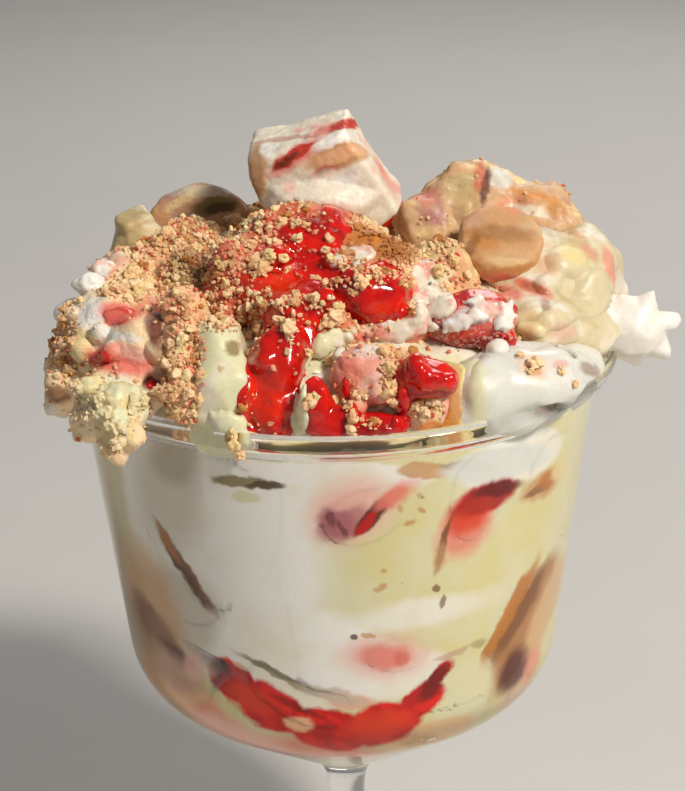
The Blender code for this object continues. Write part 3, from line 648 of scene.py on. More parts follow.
WALL_MARKS_AND_SHADE = (                 # colour, strength, then as for the sauce
    # painted shade: the next four lines darken the cup's left edge, the cream on its left side
    # and the place under the rim there
    ("brown", 0.4, 116, 540, 13, 120, 4, 0.9, 16), ("khaki", 0.5, 118, 500, 17, 100, 4, 0.8, 16),
    ("cream_shade", 0.55, 168, 490, 34, 70, 0, 0.9, 16),
    ("olive", 0.4, 176, 458, 26, 22, 10, 0.9, 14),
    ("cream_shade", 0.75, 180, 612, 46, 50, -24, 0.6, 16),
    ("tan", 0.8, 152, 604, 34, 66, 14, 0.8, 20), ("brown", 0.5, 150, 636, 30, 44, 24, 0.9, 20),
    ("white", 0.85, 275, 545, 52, 88, 8, 0.9, 20), ("olive", 0.9, 246, 482, 34, 6, -3, 0.5, 12),
    ("dark_brown", 0.8, 266, 484, 18, 4, 4, 0.5, 12),
    ("white", 0.9, 210, 488, 7, 13, 10, 0.5, 12),
    ("pudding_pale", 0.95, 246, 496, 15, 6, 0, 0.6, 12),
    ("brown", 0.8, 470, 465, 34, 5, 0, 0.5, 10), ("tan", 0.9, 423, 471, 26, 9, -4, 0.4, 10),
    ("brown", 0.95, 187, 566, 6, 52, 31, 0.6), ("dark_brown", 0.6, 192, 580, 4, 32, 31, 0.6),
    ("golden", 0.6, 172, 540, 3.5, 26, 29, 0.6),
    ("pale_pink", 0.8, 350, 510, 42, 34, 22, 0.9, 12),
    ("pink", 0.6, 398, 494, 24, 9, 32, 0.9, 10), ("mauve", 0.75, 344, 520, 26, 19, 36, 0.7, 10),
    ("mauve", 0.85, 338, 522, 16, 18, 40), ("maroon", 0.6, 332, 518, 4, 9, 20),
    ("maroon", 0.6, 343, 528, 3, 10, 30), ("pale_pink", 0.8, 352, 498, 26, 8, 20, 0.9),
    ("sauce_dark", 0.95, 371, 517, 25, 8, 48, 0.5), ("sauce", 0.9, 366, 523, 18, 5, 48, 0.5),
    ("pink", 0.8, 392, 498, 18, 6, 32), ("pink", 0.8, 464, 534, 30, 20, 30, 0.9, 10),
    ("orange_red", 0.85, 468, 514, 26, 20, 34, 0.8, 10),
    ("sauce", 0.95, 484, 496, 38, 17, 22, 0.45), ("sauce_dark", 0.9, 496, 487, 28, 8, 8, 0.7),
    ("orange_red", 0.6, 474, 510, 22, 11, 30, 0.9),
    ("sauce_dark", 0.4, 484, 499, 30, 12, 22, 0.7),
    ("cool_white", 0.95, 500, 462, 66, 16, 10, 0.5, 14),
    ("brown", 0.9, 443, 542, 3.6, 30, -18, 0.7, 10), ("tan", 0.6, 438, 556, 6, 14, -18, 0.8, 10),
    ("brown", 0.8, 434, 585, 4.5, 3.5, 0, 0.6, 8), ("brown", 0.75, 441, 599, 3, 7, -10, 0.6, 8),
    ("tan", 0.9, 538, 484, 28, 11, 36, 0.6, 10), ("brown", 0.75, 534, 489, 16, 4, 32, 0.7, 10),
    ("golden", 0.9, 546, 476, 16, 6, 38, 0.7, 10),
    ("crumb_pale", 0.8, 556, 470, 10, 8, 40, 0.8, 10),
    ("pale_pink", 0.8, 385, 655, 44, 24, 0, 0.9, 12), ("pink", 0.8, 383, 655, 28, 13, 0, 0.9, 10),
    ("soaked", 0.5, 400, 656, 8, 9, 0, 0.9), ("dark_brown", 0.85, 352, 637, 3.4, 3.4, 0, 0.6, 8),
    ("tan", 0.8, 366, 634, 7, 3.4, 0, 0.6, 8), ("golden", 0.6, 421, 509, 4, 3, 0, 0.8, 8),
    ("golden", 0.6, 408, 521, 6, 3, 20, 0.8, 8), ("golden", 0.5, 400, 507, 3, 4, 0, 0.8, 8),
    ("golden", 0.6, 380, 585, 7, 4, 30, 0.8, 8), ("golden", 0.5, 384, 566, 3, 3, 0, 0.8, 8),
    ("golden", 0.45, 420, 494, 3, 3, 0, 0.8, 8), ("wafer", 0.9, 522, 622, 22, 78, -26, 0.4, 12),
    ("wafer_pale", 0.95, 543, 604, 13, 56, -23, 0.6, 14),
    ("brown", 0.85, 517, 610, 9, 52, -28, 0.7, 12),
    ("golden", 0.95, 504, 618, 7, 66, -26, 0.6, 12),
    ("maroon", 0.9, 510, 668, 13, 25, -16, 0.9, 12), ("pink", 0.7, 527, 664, 9, 20, -18, 0.9, 12),
    ("mauve_tan", 0.6, 452, 652, 20, 3, 24, 0.7, 10), ("olive", 0.5, 478, 640, 8, 4, 20, 0.8, 10),
    ("brown", 0.7, 160, 626, 42, 12, -54, 0.8, 14),
    ("maroon", 0.7, 180, 652, 22, 8, -38, 0.9, 14), ("tan", 0.9, 176, 690, 56, 26, -30, 0.7, 25),
    ("peach", 0.8, 206, 706, 44, 15, -30, 0.8, 25),
    ("mauve_tan", 0.7, 180, 670, 30, 16, -30, 0.8, 25),
    ("pale_pink", 0.7, 196, 664, 12, 16, 10, 0.8, 14),
    ("pink", 0.5, 222, 718, 30, 10, -30, 0.8, 25), ("pink", 0.5, 344, 700, 48, 8, -10, 0.9, 12),
    ("cream", 0.95, 290, 688, 48, 11, -28, 0.5, 10),
    ("olive", 0.8, 280, 674, 46, 4, -28, 0.6, 10),
    ("cream_shade", 0.7, 330, 694, 36, 6, -14, 0.9, 12),
    ("pudding_pale", 0.9, 462, 690, 30, 38, -20, 0.6, 20),
    ("pink", 0.75, 300, 752, 96, 17, -3, 0.6, 25),
    ("pale_pink", 0.8, 236, 730, 50, 13, -16, 0.7, 25),
    ("pale_pink", 0.6, 512, 700, 20, 16, 40, 0.7, 20),
    ("crumb", 0.9, 432, 732, 46, 13, 14, 0.5, 20), ("tan", 0.6, 418, 738, 16, 7, 10, 0.8, 20),
)

SAUCE_MARKS = (                # as the wall's marks
    ("sauce_dark", 0.85, 222, 664, 14, 7, -50), ("sauce_dark", 0.85, 434, 682, 24, 9, 52, 0.7),
    ("sauce_dark", 0.6, 300, 706, 30, 4, -26, 0.9), ("pale_pink", 0.85, 214, 666, 8, 13, 20, 0.6),
    ("peach", 0.9, 247, 663, 12, 8, -20, 0.5), ("peach", 0.95, 298, 722, 15, 8, -8, 0.5),
    ("orange_red", 0.8, 378, 724, 34, 15, 10, 0.9),
    ("orange_red", 0.7, 254, 698, 26, 12, -28, 0.9),
    ("sauce_bright", 0.6, 300, 736, 16, 6, -14, 0.9),
)

OWN_COLOURS = {                # shown where the picture doesn't see the wall
    "strawberry_sauce_layer": ("sauce", "sauce_bright"),
    "wafer_right": ("wafer", "golden"),
    "wafer_low_right": ("wafer_pale", "peach"),
    "soaked_wafer_left": ("tan", "wafer"),
    "wafer_back": ("wafer", "wafer_pale"),
    "wall_strawberry_back": ("sauce", "orange_red"),
    "wall_strawberry_right": ("sauce", "orange_red"),
}


def on_wall_colour(paint):
    """What shows through the wall, alike on every filling, with painted shade at the cup's left,
    and how far back a point is.
    """
    paint.wave(9, 1.6)
    paint.wave(2.2, 0.5)
    depth = paint.node("SeparateXYZ", {}, {0: paint.place}, "Y")
    back = paint.ramp(depth, -8 * MM, 14 * MM)
    cream = paint.ramp(paint.noise(17, 2, 0.5, 0.07), 0.5, 0.58) * back
    for strength, *shape in CREAM_ON_WALL:
        cream = paint.maths("MAXIMUM", cream, paint.patch(on_wall, *shape) * strength)
    yellow = paint.two_tone(11, (0.35, 0.65), "pudding", "pudding_pale")
    yellow = paint.blend(back * 0.8, yellow, "custard")
    white = paint.two_tone(13, (0.35, 0.7), "white", "cream")
    colour = paint.blend(cream, yellow, white)
    specks = paint.ramp(paint.noise(1.1, 1, 0.5, 0.11), 0.74, 0.8)
    zone = paint.ramp(paint.noise(8, 1, 0.5, 0.4), 0.5, 0.6)
    colour = paint.blend(specks * zone * 0.55, colour, "golden")
    stains = paint.ramp(paint.noise(14, 3, 0.6, 0.21), 0.58, 0.7) * back
    colour = paint.blend(stains * 0.6, colour, "pink")
    colour = paint.patches(colour, on_wall, WALL_MARKS_AND_SHADE)
    paint.wait_for(colour)
    sauce = paint.two_tone(4, (0.4, 0.62), "sauce", "sauce_bright")
    sauce = paint.patches(sauce, on_wall, SAUCE_MARKS)
    share = 0.0
    for shape in SAUCE_ON_WALL:
        share = paint.maths("MAXIMUM", share, paint.patch(on_wall, *shape))
    return paint.blend(share, colour, sauce), back


def bowl_normal(paint):
    """Way out of the bowl's wall, so that pieces pressed on it show no joints."""
    height = paint.node("SeparateXYZ", {}, {0: paint.place}, "Z")
    flat = paint.vector("MULTIPLY", paint.place, (1, 1, 0))
    radius = paint.vector("LENGTH", flat, out="Value")
    low = RIM_HEIGHT - TURN_DEPTH - TURN_BELOW
    slope = paint.ramp(height, low, low + TURN_SPAN, UNDERSIDE_SLOPE, WALL_SLOPE)
    drop = paint.node("CombineXYZ", {}, {"Z": radius * slope * -1})
    outward = paint.vector("NORMALIZE", paint.vector("ADD", flat, drop))
    own = paint.node("NewGeometry", out="Normal")
    upward = paint.node("SeparateXYZ", {}, {0: own}, "Z")
    level = paint.ramp(upward, 0.4, 0.7)
    return paint.node("Mix", {"data_type": "VECTOR"}, {0: level, 4: outward, 5: own}, 1)


def filling_material(name, own=None):
    """Fillings behind the wall, with a piece's own colours at the back."""
    paint = Paint(name, {**SOFT, "Subsurface Weight": 0.15, "Specular IOR Level": 0.1})
    colour, back = on_wall_colour(paint)
    if own:
        fine = paint.two_tone(3, (0.4, 0.62), *own, 4, 0.6)
        colour = paint.blend(paint.ramp(back, 0.3, 0.7), colour, fine)
    roughness = paint.ramp(paint.noise(6, 2), 0.35, 0.65, 0.3, 0.5)
    relief = paint.bump(paint.noise(3, 3), 0.25, 0.3, bowl_normal(paint))
    return paint.finish(colour, roughness, relief)


def sauce_material(name, rows=()):
    """Glossy strawberry sauce with darker and brighter fruit in it."""
    paint = Paint(name, WET)
    colour = paint.two_tone(4, (0.4, 0.62), "sauce", "sauce_bright")
    colour = paint.blend(paint.ramp(paint.noise(3.2, 3, 0.6, 0.5), 0.52, 0.7) * 0.55, colour,
                         "sauce_dark")
    paint.wave(2.4, 0.8)
    colour = paint.patches(colour, on_heap, rows)
    roughness = paint.ramp(paint.noise(1.5, 2), 0.4, 0.7, 0.12, 0.3)
    return paint.finish(colour, roughness, paint.bump(paint.noise(1.6, 3), 0.5, 0.35))


def baked_material(name, under, over, rows=()):
    """Wafer cookie: pale crumb, browned skin and pores."""
    paint = Paint(name, DRY)
    colour = paint.two_tone(4, (0.4, 0.62), under, over, 4, 0.6)
    paint.wave(3, 1.0)
    paint.wave(0.9, 0.3)
    colour = paint.patches(colour, on_heap, rows)
    pores = paint.ramp(paint.noise(0.9, 3), 0.62, 0.75)
    colour = paint.blend(pores * 0.35, colour, "brown")
    return paint.finish(colour, 0.75, paint.bump(paint.noise(0.8, 4), 0.6, 0.3))


def fruit_material(name, under, over, rows=(), sugar=0.0):
    """Strawberry flesh: mottled, wet, with grains of sugar."""
    paint = Paint(name, WET)
    colour = paint.two_tone(4, (0.4, 0.62), under, over)
    paint.wave(2.4, 0.8)
    paint.wave(0.8, 0.25)
    colour = paint.patches(colour, on_heap, rows)
    if sugar:
        grains = paint.ramp(paint.noise(0.55, 2, 0.5, 0.6), 0.5, 0.62)
        colour = paint.blend(grains * paint.ramp(paint.noise(3, 2), 0.3, 0.6) * sugar, colour,
                             "pale_pink")
    roughness = paint.ramp(paint.noise(1.2, 2), 0.4, 0.7, 0.2, 0.4)
    return paint.finish(colour, roughness, paint.bump(paint.noise(1.0, 3), 0.4, 0.3))


def make_fillings():
    """The layers and pieces that show through the wall."""
    shared = filling_material("pudding_and_cream")
    for node, (reach, grow, rounds) in FILLINGS.items():
        piece = soften(node, FILLING_VOXEL, rounds, grow + FILLING_SPARE)
        space = bowl_space("bowl_space", reach * MM)
        apply_modifier(piece, "SHRINKWRAP", target=space, wrap_mode="INSIDE",
                       wrap_method="NEAREST_SURFACEPOINT")
        bpy.data.objects.remove(space, do_unlink=True)
        smooth_faces(piece)
        own = OWN_COLOURS.get(node)
        look = filling_material("look_" + node, own) if own else shared
        settle(piece, slot_of(node), look, node)


# ---- heap

HEAP = {                       # node: voxel, smoothing rounds, growth, relief, fine relief, mm
    "cream_heap": (0.8, 6, 0.4, 1.2, 0.0),
    "back_cake_lump": (0.6, 4, 0.5, 1.6, 0.6),
    "back_left_lump": (0.6, 5, 0.5, 1.6, 0.4),
    "back_right_lump": (0.6, 5, 0.5, 1.6, 0.4),
    "crumbed_mound": (0.5, 4, 0.4, 0.9, 0.25),
    "left_cream_peak": (0.4, 5, 0.5, 0.4, 0.0),
    "pudding_peak": (0.35, 2, 0.4, 0.5, 0.2),
    "left_clump": (0.45, 3, 0.45, 1.4, 0.4),
    "left_back_lump": (0.5, 4, 0.5, 1.4, 0.5),
    "white_dollop": (0.5, 9, 0.7, 0.3, 0.0),
    "piped_star": (0.4, 3, 0.45, 0.0, 0.0),
    "right_clump": (0.5, 8, 0.6, 1.6, 0.3),
    "right_back_clump": (0.45, 5, 0.5, 2.4, 0.3),
    "centre_right_lump": (0.45, 4, 0.5, 1.2, 0.6),
    "front_cake_chunk": (0.4, 3, 0.4, 1.2, 0.5),
    "front_cream_ridge": (0.45, 8, 0.7, 0.4, 0.0),
    "crumbed_leg": (0.45, 3, 0.4, 1.0, 0.3),
    "back_wafer": (0.45, 3, 0.4, 0.3, 0.3),
    "oval_wafer": (0.45, 3, 0.4, 0.3, 0.3),
    "front_banana_slice": (0.4, 3, 0.4, 0.2, 0.1),
    "right_back_wafer": (0.45, 3, 0.4, 0.3, 0.3),
    "back_banana_slice": (0.45, 3, 0.4, 0.2, 0.1),
    "pool_strawberry": (0.4, 5, 0.6, 0.4, 0.0),
    "strawberry_slice": (0.4, 4, 0.5, 0.3, 0.0),
    "front_jelly_left": (0.35, 4, 0.5, 0.5, 0.0),
    "front_jelly_right": (0.35, 4, 0.5, 0.5, 0.0),
    "back_strawberry": (0.5, 5, 0.5, 0.4, 0.0),
    "back_left_strawberry": (0.5, 5, 0.5, 0.4, 0.0),
    "top_cake_block": (0.35, 2, 0.35, 0.7, 0.3),
}

TOP_BLOCK = (
    # painted shade: the first two patches darken the block's left face
    ("clump", 0.9, 258, 168, 10, 36, 0, 0.5), ("brown", 0.5, 256, 172, 8, 32),
    ("mauve_tan", 0.8, 286, 139, 34, 3, 6, 0.6), ("white", 0.95, 268, 150, 9, 10, 20, 0.6),
    ("pink", 0.7, 297, 156, 32, 9, 32), ("sauce", 0.95, 293, 156, 25, 6, 32, 0.5),
    ("sauce_dark", 0.85, 287, 160, 15, 3.4, 32, 0.6), ("pink", 0.8, 332, 128, 28, 6, 24),
    ("sauce", 0.95, 347, 123, 22, 6, 24, 0.6), ("orange_red", 0.9, 374, 134, 6, 18, 30),
    ("white", 0.95, 332, 141, 20, 7, 24, 0.5), ("tan", 0.95, 342, 156, 38, 11, 16, 0.45),
    ("peach", 0.9, 346, 153, 30, 7, 16, 0.6), ("sauce", 0.85, 326, 172, 14, 5, 18, 0.7),
    ("maroon", 0.6, 324, 173, 8, 3, 18, 0.7), ("pink", 0.9, 384, 162, 6, 40, 24),
    ("cream", 0.9, 350, 186, 40, 17, 0, 0.7), ("white", 0.8, 350, 176, 16, 8, 20),
)
MOUND = (
    ("crumb_pale", 0.6, 236, 232, 24, 26, 0, 0.9), ("soaked", 0.9, 290, 256, 62, 54, 20, 0.9),
    ("sauce", 0.8, 300, 262, 46, 40, 20), ("soaked", 0.8, 250, 300, 40, 34, 0, 0.9),
    ("golden", 0.9, 380, 243, 40, 20, -8), ("cream", 0.95, 352, 254, 20, 9, 8, 0.6),
    ("golden", 0.85, 385, 238, 28, 14, -8, 0.7), ("orange", 0.6, 372, 240, 10, 8),
    ("cream", 0.95, 326, 350, 24, 12, 24, 0.6), ("cream_green", 0.95, 392, 328, 44, 8, 6, 0.5),
    ("cream_green", 0.8, 424, 280, 14, 22, 0, 0.7), ("golden", 0.8, 412, 300, 10, 16, 0, 0.7),
    ("soaked", 0.8, 280, 360, 34, 70, -10),
)
LEFT_CLUMP = (
    # painted shade: the cream_shade patch on the shaded side of the top
    ("white", 0.95, 84, 284, 22, 22, 20, 0.7), ("cream_shade", 0.8, 106, 260, 22, 9, 10),
    ("pink", 0.4, 124, 262, 14, 8, 0, 0.9), ("crumb_pale", 0.8, 136, 284, 22, 20),
    ("white", 0.95, 92, 316, 16, 16, 0, 0.6), ("pink", 0.95, 120, 314, 22, 14, -10, 0.6),
    ("orange_red", 0.85, 118, 316, 14, 8), ("white", 0.8, 118, 336, 26, 6, -10, 0.7),
    ("maroon", 0.8, 154, 322, 9, 22, 10, 0.7), ("sauce_dark", 0.8, 157, 332, 7, 24, 8, 0.7),
    ("soaked", 0.7, 148, 306, 12, 12), ("crumb_pale", 0.9, 76, 352, 18, 22),
    ("pink", 0.95, 120, 360, 38, 15, -14, 0.6), ("pale_pink", 0.8, 134, 354, 20, 7, -14),
    ("orange_red", 0.8, 100, 360, 14, 9), ("sauce_dark", 0.95, 151, 384, 9, 8, -10, 0.6),
    ("cream", 0.8, 168, 372, 8, 18, 14, 0.7), ("cream_green", 0.95, 112, 398, 46, 19, -8, 0.6),
    ("crumb_pale", 0.9, 116, 430, 20, 24, 0, 0.6), ("brown", 0.8, 56, 394, 14, 10, 0, 0.7),
    ("mauve_tan", 0.8, 58, 336, 10, 26, 10), ("maroon", 0.4, 70, 322, 8, 10),
    ("maroon", 0.8, 176, 412, 12, 10, 0, 0.7),
)
LEFT_BACK = (
    ("tan", 0.8, 176, 240, 26, 16, 10), ("peach", 0.85, 152, 258, 16, 11),
    # painted shade: the brown and dark_brown patches
    ("brown", 0.8, 202, 262, 20, 30, 0, 0.9), ("dark_brown", 0.5, 204, 268, 12, 18, 0, 0.9),
    ("white", 0.9, 213, 224, 8, 6, 0, 0.6), ("olive", 0.7, 186, 270, 14, 18, 0, 0.9),
)
FRONT_CHUNK = (
    ("pink", 0.9, 358, 362, 20, 14), ("white", 0.7, 368, 350, 16, 7, 10),
    ("pale_pink", 0.4, 362, 366, 18, 14, 0, 0.9), ("soaked", 0.6, 350, 378, 14, 18),
    ("pale_pink", 0.85, 368, 384, 10, 6, 20, 0.6), ("tan", 0.7, 400, 372, 14, 26),
    ("crumb_pale", 0.85, 424, 408, 18, 14, 0, 0.7), ("orange", 0.9, 430, 428, 13, 8, 10, 0.6),
    ("pink", 0.7, 376, 410, 20, 14), ("pale_pink", 0.7, 388, 400, 10, 8),
    ("maroon", 0.9, 314, 430, 11, 8, 0, 0.6),
)
CREAM_RIDGE = (
    ("olive", 0.85, 233, 348, 8, 7, -30, 0.7), ("khaki", 0.8, 221, 368, 4, 3, 0, 0.7),
    ("tan", 0.3, 246, 340, 12, 12, 0, 0.9), ("pink", 0.35, 250, 400, 6, 30, -10, 0.9),
)
DOLLOP = (
    ("cream_green", 0.9, 478, 396, 10, 46, 4), ("cream_green", 0.95, 448, 396, 14, 38, 12, 0.7),
    ("cream_green", 0.7, 462, 362, 18, 8, -20), ("golden", 0.8, 533, 368, 9, 8, 0, 0.6),
    ("peach", 0.4, 533, 368, 16, 14), ("brown", 0.6, 588, 370, 13, 7, -20, 0.7),
    ("pink", 0.45, 560, 364, 8, 5), ("pale_pink", 0.5, 540, 410, 8, 4, 20),
)
RIGHT_CLUMP = (
    ("cream_dim", 0.95, 588, 290, 32, 56, 6), ("khaki", 0.6, 577, 240, 12, 8, -30, 0.9),
    ("orange", 0.4, 574, 232, 9, 5, -40, 0.9), ("pink", 0.5, 590, 252, 12, 5, -50, 0.9),
    ("banana", 0.8, 572, 254, 18, 10, -30), ("pink", 0.6, 611, 264, 7, 20, 10),
    ("orange_red", 0.75, 532, 288, 20, 7, -30), ("brown", 0.45, 535, 288, 13, 5, -30),
    ("pink", 0.8, 506, 292, 18, 8, -20), ("cream_shade", 0.85, 546, 225, 18, 10, -20),
    ("brown", 0.6, 545, 304, 5, 7), ("pale_pink", 0.6, 562, 332, 16, 9),
    ("crumb_pale", 0.8, 530, 326, 20, 16), ("tan", 0.6, 524, 334, 12, 8),
    ("peach", 0.6, 548, 266, 12, 12, 0, 0.9), ("khaki", 0.5, 568, 302, 20, 4, -36),
    ("khaki", 0.4, 590, 322, 14, 4, -20), ("tan", 0.5, 556, 348, 20, 6, 0, 0.9),
    ("brown", 0.6, 592, 370, 10, 6),
)
RIGHT_BACK = (
    ("khaki", 0.8, 464, 184, 20, 24, 10), ("peach", 0.6, 458, 170, 20, 5, 10),
    ("mauve_tan", 0.9, 432, 206, 14, 22), ("pink", 0.5, 428, 196, 9, 12, 0, 0.9),
    # painted shade: the mauve patch on the underside of the ball at the left end
    ("mauve", 0.5, 436, 218, 12, 8, 0, 0.9), ("maroon", 0.9, 486, 184, 5, 22, -10),
    ("soaked", 0.7, 479, 176, 5, 18, -8, 0.9), ("cool_white", 0.9, 502, 178, 11, 13, 24),
    ("tan", 0.8, 530, 196, 30, 9, -8), ("crumb_pink", 0.6, 514, 204, 18, 7, 0, 0.9),
    ("cream", 0.8, 538, 212, 22, 5, -20), ("tan", 0.7, 448, 232, 22, 8),
    ("khaki", 0.6, 462, 222, 12, 14), ("orange", 0.6, 536, 196, 28, 4, -14, 0.9),
    ("golden", 0.7, 556, 212, 10, 10, -30), ("cream", 0.6, 520, 210, 14, 5, -10, 0.9),
)
CENTRE_RIGHT = (
    ("cream_green", 0.85, 425, 278, 15, 24, 0, 0.7), ("khaki", 0.7, 440, 246, 30, 12),
    ("pink", 0.6, 452, 262, 14, 10), ("cream_green", 0.7, 446, 276, 12, 10),
    ("tan", 0.7, 464, 276, 10, 14), ("white", 0.6, 440, 292, 12, 7, 0, 0.7),
)
OVAL = (
    ("tan", 0.9, 506, 254, 44, 26, -8, 0.9), ("golden", 0.6, 482, 240, 20, 8, -30, 0.9),
    ("brown", 0.6, 472, 246, 6, 16, -20, 0.9), ("clump", 0.5, 516, 256, 22, 8, -8, 0.9),
    ("crumb_pale", 0.4, 508, 262, 20, 5, -8, 0.9), ("golden", 0.5, 512, 270, 30, 4, 8, 0.9),
    ("brown", 0.45, 502, 233, 30, 9, -4, 0.95), ("tan", 0.8, 500, 218, 40, 7, 0, 0.9),
    ("mauve_tan", 0.7, 530, 216, 16, 6, 0, 0.9), ("crumb_pink", 0.6, 516, 208, 20, 6, 0, 0.9),
    ("mauve_tan", 0.5, 472, 220, 14, 8, 0, 0.9), ("pink", 0.6, 500, 280, 26, 6, 0, 0.9),
)
BACK_WAFER = (
    # painted shadow: the olive and dark_brown patches in the hollow under the arch
    ("olive", 0.95, 214, 206, 24, 9, 6, 0.5), ("dark_brown", 0.7, 220, 208, 16, 5, 6, 0.5),
    ("cream_shade", 0.85, 205, 191, 40, 6, 0, 0.6), ("crumb_pale", 0.6, 182, 200, 20, 5, 30),
)
FRONT_BANANA = (
    ("golden", 0.95, 448, 404, 14, 42, 6, 0.6), ("tan", 0.7, 456, 394, 8, 26, 4),
    ("brown", 0.8, 436, 410, 5, 28, 8), ("banana", 0.95, 470, 400, 8, 40, 4, 0.6),
)
SLICE = (
    ("pink", 0.35, 470, 332, 40, 10, 6, 0.9), ("sauce_dark", 0.7, 470, 344, 46, 7, 6, 0.7),
    ("sauce_dark", 0.7, 436, 330, 8, 16, 20, 0.7), ("pink", 0.6, 500, 318, 20, 12),
    ("cool_white", 0.8, 474, 314, 30, 9, 18, 0.7),
)
POOL = (
    # painted highlight: the orange_red patch on the pool
    ("orange_red", 0.5, 382, 309, 11, 6, 0, 0.9), ("sauce_dark", 0.6, 345, 290, 14, 18),
)


def heap_materials():
    """Material of each piece of the heap, after its place on the picture."""
    crumbed = {"rough": 0.72, "relief": 0.9, "grain": 0.8, "finish": DRY}
    return {
        "cream_heap": soft_material("heap_cream", "cream", "cream_green", smear="pale_pink"),
        "back_cake_lump": soft_material("back_cake", "crumb", "tan", smear="pink", **crumbed),
        "back_left_lump": soft_material("back_left_cream", "cream", "peach", smear="pink"),
        "back_right_lump": soft_material("back_right_cream", "cream", "crumb", smear="pink"),
        "crumbed_mound": soft_material("mound_crumbed", "crumb_pink", "soaked", MOUND,
                                       share=(0.44, 0.62), size=5, **crumbed),
        "left_cream_peak": soft_material("left_peak_cream", "white", "cool_white", relief=0.2),
        "pudding_peak": soft_material("khaki_peak", "khaki", "cream_dim", relief=0.5,
                                      smear="cream_shade"),
        "left_clump": soft_material("left_clump_crumbed", "crumb_light", "cream", LEFT_CLUMP,
                                    size=5, **{**crumbed, "rough": 0.6}),
        "left_back_lump": soft_material("left_back_crumbed", "tan", "crumb", LEFT_BACK,
                                        size=5, **crumbed),
        "white_dollop": soft_material("dollop_cream", "cool_white", "cream", DOLLOP, relief=0.12,
                                      rough=0.34, share=(0.55, 0.75)),
        "piped_star": soft_material("star_cream", "white", "cream", relief=0.12, rough=0.36,
                                    share=(0.5, 0.7)),
        "right_clump": soft_material("right_cream", "cream_dim", "cream", RIGHT_CLUMP,
                                     share=(0.45, 0.62), size=5, smear="pale_pink"),
        "right_back_clump": soft_material("right_back_cream", "clump", "crumb_pale",
                                          RIGHT_BACK, size=5, smear="mauve_tan"),
        "centre_right_lump": soft_material("centre_right_crumbed", "crumb", "crumb_pale",
                                           CENTRE_RIGHT, size=4, **crumbed),
        "front_cake_chunk": soft_material("front_cake", "pale_pink", "crumb", FRONT_CHUNK,
                                          size=4, smear="pink", **{**crumbed, "rough": 0.5}),
        "front_cream_ridge": soft_material("ridge_cream", "cream_green", "cream", CREAM_RIDGE,
                                           relief=0.12, rough=0.34),
        "crumbed_leg": soft_material("leg_crumbed", "crumb", "crumb_pink", size=4, **crumbed),
        "top_cake_block": soft_material("block_cream", "cream", "pale_pink", TOP_BLOCK,
                                        size=5, share=(0.5, 0.7), relief=0.5),
        "back_wafer": baked_material("arch_wafer", "mauve_tan", "tan", BACK_WAFER),
        "oval_wafer": baked_material("oval_cookie", "tan", "clump", OVAL),
        "right_back_wafer": baked_material("back_cookie", "wafer", "wafer_pale"),
        "front_banana_slice": baked_material("browned_banana", "banana", "khaki",
                                             FRONT_BANANA),
        "back_banana_slice": soft_material("pale_banana", "banana", "pudding", relief=0.3),
        "pool_strawberry": sauce_material("pool_fruit", POOL),
        "front_jelly_left": sauce_material("left_jelly"),
        "front_jelly_right": sauce_material("right_jelly"),
        "strawberry_slice": fruit_material("slice_flesh", "sauce", "sauce_bright", SLICE, 0.75),
        "back_strawberry": fruit_material("back_flesh", "sauce", "orange_red"),
        "back_left_strawberry": fruit_material("back_left_flesh", "sauce", "pink"),
    }


def make_heap():
    """Soft forms of the heap, before they get their colours."""
    return {node: soften(node, *settings) for node, settings in HEAP.items()}


def dress_heap(pieces):
    """Give the heap its materials."""
    materials = heap_materials()
    for node, piece in pieces.items():
        settle(piece, slot_of(node), materials[node], node)


# ---- laid-on cream and sauce

def inside_zone(u, v, rows):
    """How far inside a zone of ellipses a pixel is: 1 in a middle, 0 on the edge."""
    best = -1
    for middle_u, middle_v, wide, tall, turn in rows:
        angle = math.radians(turn)
        right, up = u - middle_u, middle_v - v
        across = (right * math.cos(angle) + up * math.sin(angle)) / wide
        upward = (up * math.cos(angle) - right * math.sin(angle)) / tall
        best = max(best, 1 - math.hypot(across, upward))
    return best


